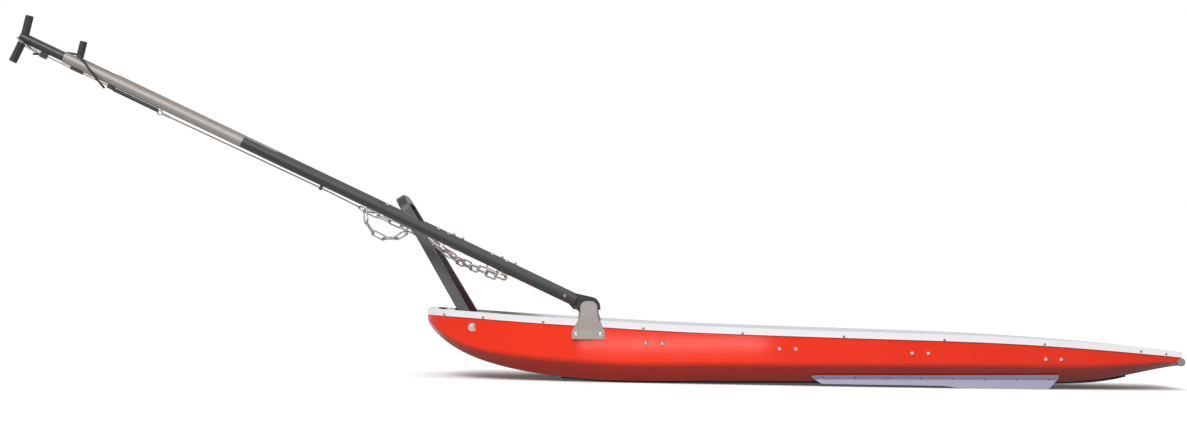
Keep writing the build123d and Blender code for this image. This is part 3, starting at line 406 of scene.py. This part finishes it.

# %% [markdown]
# ## Zinc-plated steel
# Bolts, rods and chain are steel, zinc plated and passivated.  The passivation is uneven, so
# bright steel goes from a bluish to a yellowish grey over a few millimetres.  The chain has
# been dragged and rubbed, so it is brighter where it is worn and rougher between.  The brake
# rod is drawn, which leaves fine lines along it, and the strands of the brake cable are
# diagonal bands, raised above the gaps between them, which are painted darker: painted shade.

# %% zinc finishes
bright_zinc, shader = new_finish("bright_zinc_plate", "B5B4B2", 0.22, 1.0)
tint(bright_zinc, shader, grain(bright_zinc, 6.0), "C6C7C9", "A29F98")
polish(bright_zinc, shader, grain(bright_zinc, 3.0), 0.16, 0.36)
relief(bright_zinc, shader, grain(bright_zinc, 1.5), 0.03, 0.4)

worn_zinc, shader = new_finish("worn_zinc_chain", "8F8D8B", 0.26, 1.0)
tint(worn_zinc, shader, grain(worn_zinc, 9.0, 4.0), "B4B3B1", "5C5A58")
polish(worn_zinc, shader, grain(worn_zinc, 4.0, 4.0), 0.12, 0.4)
relief(worn_zinc, shader, grain(worn_zinc, 1.2), 0.06, 0.5)

dull_steel, shader = new_finish("drawn_steel_rod", "7E7C7A", 0.25, 1.0)
streaks = lines_along(dull_steel, 60.0, 0.8, turn=-HANDLE_SLOPE)
tint(dull_steel, shader, streaks, "9A9896", "5E5C5A")
polish(dull_steel, shader, streaks, 0.2, 0.4)

STRAND_MM = 2.5  # the pitch of the strands, coarser than the real cable's
wire_cable, shader = new_finish("stranded_wire_cable", "8E8B88", 0.4, 1.0)
where = add_node(wire_cable, "ShaderNodeTexCoord")
strands_and_gap_shade = add_node(
    wire_cable,
    "ShaderNodeTexWave",
    {"bands_direction": "DIAGONAL", "Scale": wave_scale_for(STRAND_MM)},
    {"Vector": where.outputs["Object"]},
)
# The gaps between the strands are painted dark: painted shade in the grooves.
tint(wire_cable, shader, strands_and_gap_shade.outputs["Fac"], "7A7673", "383533")
relief(wire_cable, shader, strands_and_gap_shade.outputs["Fac"], 0.3, 0.8)
print("strand pitch in the cable, mm:", STRAND_MM)

# %% [markdown]
# ## Black powder coat
# The outer handle tubes, the lugs and the hoop are powder coated.  Powder melts into a thin
# even skin that never quite levels, so a satin black keeps a fine stipple that breaks up its
# highlights.  The stipple is bump, a few hundredths of a millimetre deep.

# %% powder coat
powder_coat, shader = new_finish("satin_black_powder_coat", "1D1D20", 0.42)
polish(powder_coat, shader, grain(powder_coat, 25.0), 0.38, 0.48)
tint(powder_coat, shader, grain(powder_coat, 60.0), "222226", "17171A")
relief(powder_coat, shader, grain(powder_coat, 1.6), 0.05, 0.5)
print("powder coat nodes:", len(powder_coat.node_tree.nodes))

# %% [markdown]
# ## Rubber, plastics and cord
# The grips are moulded rubber with a pebbled skin, the cable guides are moulded nylon, and
# the plate under the hull is sheet polyethylene, dull and scored along its length by the
# snow and grit it slides on.  The cord is braided polyester.  Its strands cross at an angle
# both ways, so two sets of diagonal bands multiplied together give its diamonds.  The grooves
# between them are painted darker: painted shade.

# %% soft and moulded finishes
grip_rubber, shader = new_finish("pebbled_grip_rubber", "151414", 0.62)
where = add_node(grip_rubber, "ShaderNodeTexCoord")
pebbles = add_node(
    grip_rubber,
    "ShaderNodeTexVoronoi",
    {"Scale": scale_for(2.2)},
    {"Vector": where.outputs["Object"]},
)
tint(grip_rubber, shader, grain(grip_rubber, 12.0), "1B1A1A", "100F0F")
polish(grip_rubber, shader, pebbles.outputs["Distance"], 0.5, 0.75)
relief(grip_rubber, shader, pebbles.outputs["Distance"], 0.25, 0.6)

moulded_nylon, shader = new_finish("moulded_black_nylon", "1B1B1D", 0.45)
tint(moulded_nylon, shader, grain(moulded_nylon, 15.0), "202022", "151517")
polish(moulded_nylon, shader, grain(moulded_nylon, 4.0), 0.38, 0.55)
relief(moulded_nylon, shader, grain(moulded_nylon, 0.9), 0.04, 0.5)

wear_sheet, shader = new_finish("scored_polyethylene_sheet", "18181A", 0.55)
shader.inputs["Specular IOR Level"].default_value = 0.2
scores = lines_along(wear_sheet, 140.0, 1.6)
tint(wear_sheet, shader, scores, "232326", "101012")
polish(wear_sheet, shader, scores, 0.38, 0.66)
relief(wear_sheet, shader, scores, 0.15, 0.5)

BRAID_MM = 2.0  # from one strand to the next
braided_cord, shader = new_finish("braided_black_cord", "141416", 0.75)
where = add_node(braided_cord, "ShaderNodeTexCoord")
bands = []
for lean in (45, -45):
    leaning = add_node(
        braided_cord,
        "ShaderNodeVectorRotate",
        {"rotation_type": "Y_AXIS", "Angle": math.radians(lean)},
        {"Vector": where.outputs["Object"]},
    )
    bands.append(
        add_node(
            braided_cord,
            "ShaderNodeTexWave",
            {"bands_direction": "X", "Scale": wave_scale_for(BRAID_MM)},
            {"Vector": leaning.outputs["Vector"]},
        )
    )
diamonds_and_groove_shade = add_node(
    braided_cord,
    "ShaderNodeMath",
    {"operation": "MULTIPLY"},
    {0: bands[0].outputs["Fac"], 1: bands[1].outputs["Fac"]},
)
# The grooves between the diamonds are painted darker: painted shade in the grooves.
tint(braided_cord, shader, diamonds_and_groove_shade.outputs["Value"], "2A2A2D", "0C0C0D")
relief(braided_cord, shader, diamonds_and_groove_shade.outputs["Value"], 0.4, 0.8)
shader.inputs["Sheen Weight"].default_value = 0.2
softer = (grip_rubber, moulded_nylon, wear_sheet, braided_cord)
print("moulded and woven finishes:", ", ".join(finish.name for finish in softer))

# %% [markdown]
# ## Dress the model
# The model's own parts keep their shape and place.  A part takes a finish through its
# object's material slots, so nothing in its mesh changes.  The first name below that a
# part's own name starts with gives its finish, and what matches none, such as a bolt, a pin
# or a strap loop, is bright zinc.

# %% finish of each part
FINISHES = {
    "hull_shell": gel_coat,
    "edge_trim": mill_aluminium,
    "tail_bar": dull_steel,
    "belly_plate": wear_sheet,
    "fin": fin_plate,
    "hinge_bracket": bracket_plate,
    "hinge_plate": bracket_plate,
    "handle_lug": powder_coat,
    "lower_tube": powder_coat,
    "upper_tube": powder_coat,
    "support_hoop": powder_coat,
    "middle_tube": anodised_tube,
    "grip_cord": braided_cord,
    "grip": grip_rubber,
    "pull_grip": grip_rubber,
    "cable_guides": moulded_nylon,
    "cable_sleeve": moulded_nylon,
    "brake_cable": wire_cable,
    "brake_rod": dull_steel,
    "pull_yoke": dull_steel,
    "cable_eye": dull_steel,
    "brake_chain": worn_zinc,
    "chain_rings": worn_zinc,
}
for name, part in nodes.items():
    finish = next((FINISHES[start] for start in FINISHES if name.startswith(start)), bright_zinc)
    if not part.material_slots:
        part.data.materials.append(finish)
    for place in part.material_slots:
        place.link = "OBJECT"
        place.material = finish
print("parts dressed:", len(nodes))

# %% [markdown]
# ## Turned shapes
# A rivet, screw or nut is a turned or pressed shape, so each is made as a machinist would
# draw it: half of its outline, spun round its own axis.  Six facets give a nut's flats.


# %% an outline spun round its axis
def turned(outline, facets):
    """Corners and faces of an outline of (radius, height) in mm, spun round the Z axis.  The
    outline runs from the axis at the top to the axis at the bottom."""
    corners = []
    rings = []
    for radius, height in outline:
        if radius == 0:
            rings.append([len(corners)])
            corners.append(Vector((0, 0, height)) * MM)
            continue
        rings.append(list(range(len(corners), len(corners) + facets)))
        for i in range(facets):
            turn = math.tau * i / facets
            corners.append(Vector((math.cos(turn) * radius, math.sin(turn) * radius, height)) * MM)
    faces = []
    for upper, lower in zip(rings, rings[1:]):
        for i in range(facets):
            j = (i + 1) % facets
            ring = [upper[i % len(upper)], lower[i % len(lower)]]
            ring += [lower[j % len(lower)], upper[j % len(upper)]]
            faces.append(list(dict.fromkeys(ring)))
    return corners, faces


HEX_NUT = [(0, 2.6), (2.2, 2.6), (2.3, 4.4), (4.9, 4.4), (5.7, 3.8), (5.7, 0), (0, 0)]
print("faces of a nut:", len(turned(HEX_NUT, 6)[1]))

# %% [markdown]
# ## Seats
# Where each one goes is found by looking at the model from the side it is driven from, so its
# head sits flat on the real surface whatever its slope.  A row of like fasteners is one piece,
# which keeps the scene light.

# %% pieces seated on the model
SUNK_MM = 0.15  # each is let into the surface by a hair, so that no gap shows
SHARP_EDGE = math.radians(40)


def seat(part, start, way):
    """Where a straight line first meets a part, and the direction that the surface faces."""
    hit, point, facing_way, _ = nodes[part].ray_cast(start, way)
    assert hit, f"no {part} in line with {start}"
    return point, facing_way


def turned_piece(name, outline, seats, finish, body, facets=20, smooth=True):
    """One piece made of a turned shape, repeated at each seat."""
    corners, faces = turned(outline, facets)
    all_corners = []
    all_faces = []
    for point, facing_way in seats:
        stand_up = facing_way.to_track_quat("Z", "Y").to_matrix().to_4x4()
        place = Matrix.Translation(point - facing_way * SUNK_MM * MM) @ stand_up
        first = len(all_corners)
        all_corners += [place @ corner for corner in corners]
        all_faces += [[first + i for i in face] for face in faces]
    mesh = bpy.data.meshes.new(name)
    mesh.from_pydata(all_corners, [], all_faces)
    mesh.update()
    if smooth:
        mesh.shade_smooth()
        mesh.set_sharp_from_angle(angle=SHARP_EDGE)
    mesh.materials.append(finish)
    piece = bpy.data.objects.new(name, mesh)
    bpy.context.scene.collection.objects.link(piece)
    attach(piece, body)
    print(name, "x", len(seats))
    return piece


# %% [markdown]
# ## Rivets round the rim
# Pop rivets hold the trim to the hull, about a foot apart, closer at the nose and tail.  Each
# has a low dome, and a small hole in its middle where the mandrel snapped off.

# %% rim rivets
RIM_RIVET = [(0, 0.7), (1.0, 0.7), (1.1, 1.9), (2.4, 1.75), (3.6, 1.2), (4.3, 0.4), (4.4, 0), (0, 0)]
RIM_STATIONS = [60, 184, 372, 681, 985, 1297, 1608, 1924, 2239, 2324]
TAIL_TRIM_STATION = 2248  # where the tail's length of trim begins
RIM_DROP_MM = 16.5  # below the top edge of the trim
NEARBY_MM = 30.0
OUTSIDE_MM = 1000.0  # from the middle line, well clear of the hull's side


def trim_top(trim, station):
    """The height of the top edge of a length of trim near a station, in mm."""
    here = at_station(station, 0, 0).x
    edge = [v.co.z for v in nodes[trim].data.vertices if abs(v.co.x - here) < NEARBY_MM * MM]
    return max(edge) / MM


for side, way in SIDES.items():
    seats = []
    for station in RIM_STATIONS:
        trim = "edge_trim_tail" if station > TAIL_TRIM_STATION else "edge_trim_" + side
        height = trim_top(trim, station) - RIM_DROP_MM
        start = at_station(station, way * OUTSIDE_MM, height)
        seats.append(seat(trim, start, INWARDS[side]))
    turned_piece("rim_rivets_" + side, RIM_RIVET, seats, dull_steel, "sled")
print("rim height amidships, mm:", round(trim_top("edge_trim_left", 985)))

# %% [markdown]
# ## Painted shade under the trim
# A thin dark bead along the lower edge of the trim is painted shade: it stands in for the
# line of shade under the trim.  So the edge of the trim's outer leg has to be found first:
# going up the side, the first height that meets the trim, and then halves of the gap below it.

# %% the lower edge of the trim
LOOK_AT_MM = range(110, 226, 4)  # heights, from the edge at the low tail up
HALVINGS = 8
BEAD_RADIUS_MM = 1.5
BEAD_DROP = 0.6  # of its radius, from the trim's edge down to the middle of the bead


def meets_trim(station, side, height_mm):
    """Whether a level line into the hull's side meets any length of the trim."""
    start = at_station(station, SIDES[side] * OUTSIDE_MM, height_mm)
    trims = [nodes["edge_trim_" + length] for length in ("nose", side, "tail")]
    return any(trim.ray_cast(start, INWARDS[side])[0] for trim in trims)


def bead_point(station, side):
    """The place on the hull where the bead runs, just under the trim's outer leg."""
    high = next(height for height in LOOK_AT_MM if meets_trim(station, side, height))
    low = high - LOOK_AT_MM.step
    for _ in range(HALVINGS):
        middle = (high + low) / 2
        if meets_trim(station, side, middle):
            high = middle
        else:
            low = middle
    start = at_station(station, SIDES[side] * OUTSIDE_MM, low - BEAD_RADIUS_MM * BEAD_DROP)
    return seat("hull_shell", start, INWARDS[side])[0]


print("bead amidships at:", [round(v, 3) for v in bead_point(985, "left")])

# %% [markdown]
# ## The bead
# The bead of painted shade is one dark, rounded strip.  It is built ring by ring
# along the edge, because a ring can then follow the hull's side wherever it turns.

# %% bead of painted shade
BEAD_START_MM = 6.0
BEAD_STEP_MM = 30.0
BEAD_POINTS = 79
BEAD_SIDES = 8
# A dark brownish black stands in for the shade under the trim's lower edge: painted shade.
trim_shade_paint, shader = new_finish("painted_shade_under_trim", "2A1C1A", 0.5)
tint(trim_shade_paint, shader, grain(trim_shade_paint, 8.0), "33221F", "1D1311")
relief(trim_shade_paint, shader, grain(trim_shade_paint, 3.0), 0.1, 0.5)


def round_strip(run):
    """Corners and faces of a round strip along a run of points, closed at both ends."""
    corners = []
    faces = []
    for i, point in enumerate(run):
        along = (run[min(i + 1, len(run) - 1)] - run[max(i - 1, 0)]).normalized()
        out = along.cross(Vector((0, 0, 1))).normalized()
        up = out.cross(along)
        for k in range(BEAD_SIDES):
            turn = math.tau * k / BEAD_SIDES
            reach = out * math.cos(turn) + up * math.sin(turn)
            corners.append(point + reach * BEAD_RADIUS_MM * MM)
    for i in range(len(run) - 1):
        for k in range(BEAD_SIDES):
            a = i * BEAD_SIDES + k
            b = i * BEAD_SIDES + (k + 1) % BEAD_SIDES
            faces.append([a, b, b + BEAD_SIDES, a + BEAD_SIDES])
    faces.append(list(range(BEAD_SIDES))[::-1])
    faces.append([(len(run) - 1) * BEAD_SIDES + k for k in range(BEAD_SIDES)])
    return corners, faces


for side in SIDES:
    stations = [BEAD_START_MM + BEAD_STEP_MM * i for i in range(BEAD_POINTS)]
    corners, faces = round_strip([bead_point(station, side) for station in stations])
    mesh = bpy.data.meshes.new("shade_bead_" + side)
    mesh.from_pydata(corners, [], faces)
    mesh.shade_smooth()
    mesh.materials.append(trim_shade_paint)
    bead = bpy.data.objects.new("shade_bead_" + side, mesh)
    bpy.context.scene.collection.objects.link(bead)
    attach(bead, "sled")
    print(bead.name, "points:", len(stations))

# %% [markdown]
# ## Screws of the hinge brackets
# Each bracket's flange is held by two button-head screws with a hex socket.  The heads are
# broad and low because the laminate behind them is thin and must not be crushed.  The model's
# flange has their holes, so its surface is looked for just above each hole.

# %% bracket screws
BUTTON_HEAD = [
    (0, 1.2),
    (2.4, 1.2),
    (2.5, 4.1),
    (4.6, 3.9),
    (6.4, 3.0),
    (7.6, 1.6),
    (8.0, 0.6),
    (8.0, 0),
    (0, 0),
]
SCREW_PITCH_MM = 75.0
SCREW_HEIGHT_MM = 149.1
ABOVE_HOLE_MM = 8.0
for side, way in SIDES.items():
    seats = []
    for end in (-1, 1):
        station = HINGE_STATION + end * SCREW_PITCH_MM / 2
        start = at_station(station, way * OUTSIDE_MM, SCREW_HEIGHT_MM + ABOVE_HOLE_MM)
        plate, facing_way = seat("hinge_bracket_" + side, start, INWARDS[side])
        seats.append((Vector((plate.x, plate.y, SCREW_HEIGHT_MM * MM)), facing_way))
    name = "bracket_screws_" + side
    turned_piece(name, BUTTON_HEAD, seats, bright_zinc, "sled", facets=24)

# %% [markdown]
# ## Fin rivets
# The fins are riveted through their lower plates every four inches, with small flat rivets
# that have been anodised blue.

# %% fin rivets
blue_anodised, shader = new_finish("blue_anodised_rivet", "3A4A66", 0.35, 1.0)
tint(blue_anodised, shader, grain(blue_anodised, 3.0), "465878", "2E3B52")
polish(blue_anodised, shader, grain(blue_anodised, 2.0), 0.28, 0.45)
FIN_RIVET = [(0, 1.1), (1.8, 1.0), (2.8, 0.6), (3.2, 0), (0, 0)]
FIN_RIVETS = 8
FIN_RIVET_START_MM = 1237.0
FIN_RIVET_PITCH_MM = 102.0
FIN_RIVET_HEIGHT_MM = 30.0
for side, way in SIDES.items():
    seats = []
    for i in range(FIN_RIVETS):
        station = FIN_RIVET_START_MM + i * FIN_RIVET_PITCH_MM
        start = at_station(station, way * OUTSIDE_MM, FIN_RIVET_HEIGHT_MM)
        seats.append(seat("fin_" + side, start, INWARDS[side]))
    name = "fin_rivets_" + side
    turned_piece(name, FIN_RIVET, seats, blue_anodised, "sled", facets=16)

# %% [markdown]
# ## Screws of the belly plate
# The sheet under the hull wears out and is replaced, so it is screwed on.  The heads are
# countersunk below its surface, where the snow can't catch them.

# %% belly plate screws
COUNTERSUNK = [(0, -1.4), (1.6, -1.4), (1.7, 0.2), (4.6, 0.2), (4.7, 0.1), (0, -2.4)]
BELLY_STATIONS = range(600, 2101, 300)
BELLY_ACROSS_MM = 70.0
UNDER_SLED_MM = -500.0
UPWARDS = Vector((0, 0, 1))
for side, way in SIDES.items():
    seats = []
    for station in BELLY_STATIONS:
        start = at_station(station, way * BELLY_ACROSS_MM, UNDER_SLED_MM)
        seats.append(seat("belly_plate", start, UPWARDS))
    turned_piece("belly_screws_" + side, COUNTERSUNK, seats, bright_zinc, "sled")

# %% [markdown]
# ## Fasteners of the handles
# A button-head screw holds the lug in the foot of each handle tube, and a nut on top of the
# tube holds the cable's hook below it.  Both handles are the same part, so their screws face
# the same way.  Flat facets, with no smoothing, keep the nut's corners crisp.

# %% handle fasteners
LUG_SCREW = [(0, 1.0), (1.6, 1.0), (1.7, 2.6), (3.2, 2.4), (4.8, 1.4), (5.2, 0.4), (5.2, 0), (0, 0)]
LUG_SCREW_MM = 84.0  # up the handle from its hinge
TUBE_NUT_MM = 699.0
AXIS_RISE_MM = 6.0  # the tubes' axis lies this far off the hinge
A_HAIR_MM = 0.01  # off the axis, where two facets of the tube meet, so that one is always hit
CLEAR_OF_TUBE_MM = 100.0
ACROSS = Vector((0, 1, 0))
for side in SIDES:
    body = "handle_" + side
    part = "lower_tube_" + side
    axis = on_handle(body, LUG_SCREW_MM, AXIS_RISE_MM + A_HAIR_MM)
    seats = [seat(part, axis - ACROSS * CLEAR_OF_TUBE_MM * MM, ACROSS)]
    turned_piece("lug_screw_" + side, LUG_SCREW, seats, dull_steel, body)
    seats = [seat(part, on_handle(body, TUBE_NUT_MM, CLEAR_OF_TUBE_MM), -OFF_HANDLE)]
    name = "tube_nut_" + side
    turned_piece(name, HEX_NUT, seats, bright_zinc, body, facets=6, smooth=False)

# %% [markdown]
# ## Leaning hand grips
# On the real sled each hand grip leans forward of a right angle to its tube, so that it
# stands nearly upright in the hand.  The model's grip stands square, on a round stub of the
# tube.  A grip is turned as one plain rubber sleeve, started inside the tube and tipped by the
# lean.  The tube's end is turned again without the stub, which would poke out of a sleeve
# that leans.

# %% leaning grips
GRIP_LEAN = math.radians(12.2)  # from the vertical
GRIP_SLEEVE = [(0, 71), (9.6, 71), (11.4, 70.5), (12.3, 69.3), (12.5, 67.6), (12.5, 0), (0, 0)]
TUBE_END = [(0, 242.5), (13.6, 242.5), (14.6, 242.0), (15.0, 241.0), (15.0, 0), (0, 0)]
TUBE_START_MM = 1706.0  # up the handle from its hinge
GRIP_AT_MM = 1936.0
upright = Vector((math.sin(GRIP_LEAN), 0, math.cos(GRIP_LEAN)))
for side in SIDES:
    body = "handle_" + side
    seats = [(on_handle(body, GRIP_AT_MM, AXIS_RISE_MM), upright)]
    name = "leaning_grip_" + side
    sleeve = turned_piece(name, GRIP_SLEEVE, seats, grip_rubber, body, facets=48)
    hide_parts("grip_" + side)
    seats = [(on_handle(body, TUBE_START_MM, AXIS_RISE_MM), UP_HANDLE)]
    name = "tube_end_" + side
    tube = turned_piece(name, TUBE_END, seats, powder_coat, body, facets=64)
    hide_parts("upper_tube_" + side)

# %% [markdown]
# ## Floor
# The floor is white where it is seen or mirrored, but only a dark grey where it lights the
# sled, so that the underside stays dark as it does over real ground.  It is lit by the lamps
# and keeps the sled's shadow.  A very small glow where it is seen evens out what the lamps
# leave short of white.

# %% floor
WHITE = (1.0, 1.0, 1.0, 1.0)
FLOOR_HALF = 60.0
GLOW = 0.08
floor_mesh = bpy.data.meshes.new("floor")
corner_points = [(-1, -1), (1, -1), (1, 1), (-1, 1)]
floor_corners = [(x * FLOOR_HALF, y * FLOOR_HALF, 0) for x, y in corner_points]
floor_mesh.from_pydata(floor_corners, [], [(0, 1, 2, 3)])
floor = bpy.data.objects.new("floor", floor_mesh)
bpy.context.scene.collection.objects.link(floor)
floor_paint, shader = new_finish("white_studio_floor", "FFFFFF", 0.9)
shader.inputs["Specular IOR Level"].default_value = 0.0


def seen_or_mirrored(tree_owner):
    """One where a ray comes from the camera, a mirror or a clear thing, else nothing."""
    rays = add_node(tree_owner, "ShaderNodeLightPath")
    total = rays.outputs["Is Camera Ray"]
    for name in ("Is Glossy Ray", "Is Transmission Ray"):
        total = add_node(
            tree_owner,
            "ShaderNodeMath",
            {"operation": "MAXIMUM"},
            {0: total, 1: rays.outputs[name]},
        ).outputs["Value"]
    return total


seen = seen_or_mirrored(floor_paint)
tint(floor_paint, shader, seen, "FFFFFF", "484848")
shader.inputs["Emission Color"].default_value = WHITE
glow = add_node(floor_paint, "ShaderNodeMath", {"operation": "MULTIPLY", 1: GLOW}, {0: seen})
floor_paint.node_tree.links.new(glow.outputs["Value"], shader.inputs["Emission Strength"])
floor_mesh.materials.append(floor_paint)
print("floor, metres across:", 2 * FLOOR_HALF)

# %% [markdown]
# ## Sky
# An even white sky stands in for the walls of a studio.  It is white where it is seen or
# mirrored, so that metal shows a bright room, and half as strong where it lights the sled.

# %% sky
AMBIENT = 0.5
sky = bpy.data.worlds.new("studio_sky")
bpy.context.scene.world = sky
sky.use_nodes = True
background = sky.node_tree.nodes["Background"]
background.inputs["Color"].default_value = WHITE
strength = add_node(
    sky,
    "ShaderNodeMapRange",
    {"To Min": AMBIENT, "To Max": 1.0},
    {"Value": seen_or_mirrored(sky)},
)
sky.node_tree.links.new(strength.outputs["Result"], background.inputs["Strength"])
print("light from the sky:", AMBIENT)

# %% [markdown]
# ## Lamps
# The key lamp is a broad sun from the left, a little ahead of the sled.  A top light high on
# the left lays a soft gleam along the upper side of the black and the anodised tubes.  A
# narrow strip light low beside the hull draws the long bright patch of its glossy side.  That
# strip falls on the hull alone: on the trim above, its glare would clip bright metal to white.

# %% lamps


def lamp(name, kind, power, place, aim, **settings):
    """A lamp at a place, turned towards another."""
    data = bpy.data.lights.new(name, kind)
    data.energy = power
    for key, value in settings.items():
        setattr(data, key, value)
    thing = bpy.data.objects.new(name, data)
    turn = (aim - place).to_track_quat("-Z", "Y").to_matrix().to_4x4()
    thing.matrix_world = Matrix.Translation(place) @ turn
    bpy.context.scene.collection.objects.link(thing)
    return thing


key_lamp = lamp(
    "key_lamp",
    "SUN",
    power=2.35,
    place=Vector((-2.5, -7.0, 5.7)),
    aim=Vector((0, 0, 0.2)),
    angle=math.radians(25),
)
strip_light = lamp(
    "strip_light",
    "AREA",
    power=0.8,
    place=at_station(735, -1100, 21),
    aim=at_station(735, -300, 137),
    shape="RECTANGLE",
    size=0.84,
    size_y=0.034,
)
top_light = lamp(
    "top_light",
    "AREA",
    power=40.0,
    place=at_station(900, -1300, 3300),
    aim=at_station(100, -300, 600),
    shape="RECTANGLE",
    size=3.2,
    size_y=1.5,
)
for thing in (strip_light, top_light):
    thing.visible_camera = False
strip_falls_on = bpy.data.collections.new("strip_light_falls_on")
strip_falls_on.objects.link(nodes["hull_shell"])
strip_light.light_linking.receiver_collection = strip_falls_on
print("lamps:", key_lamp.name, strip_light.name, top_light.name)
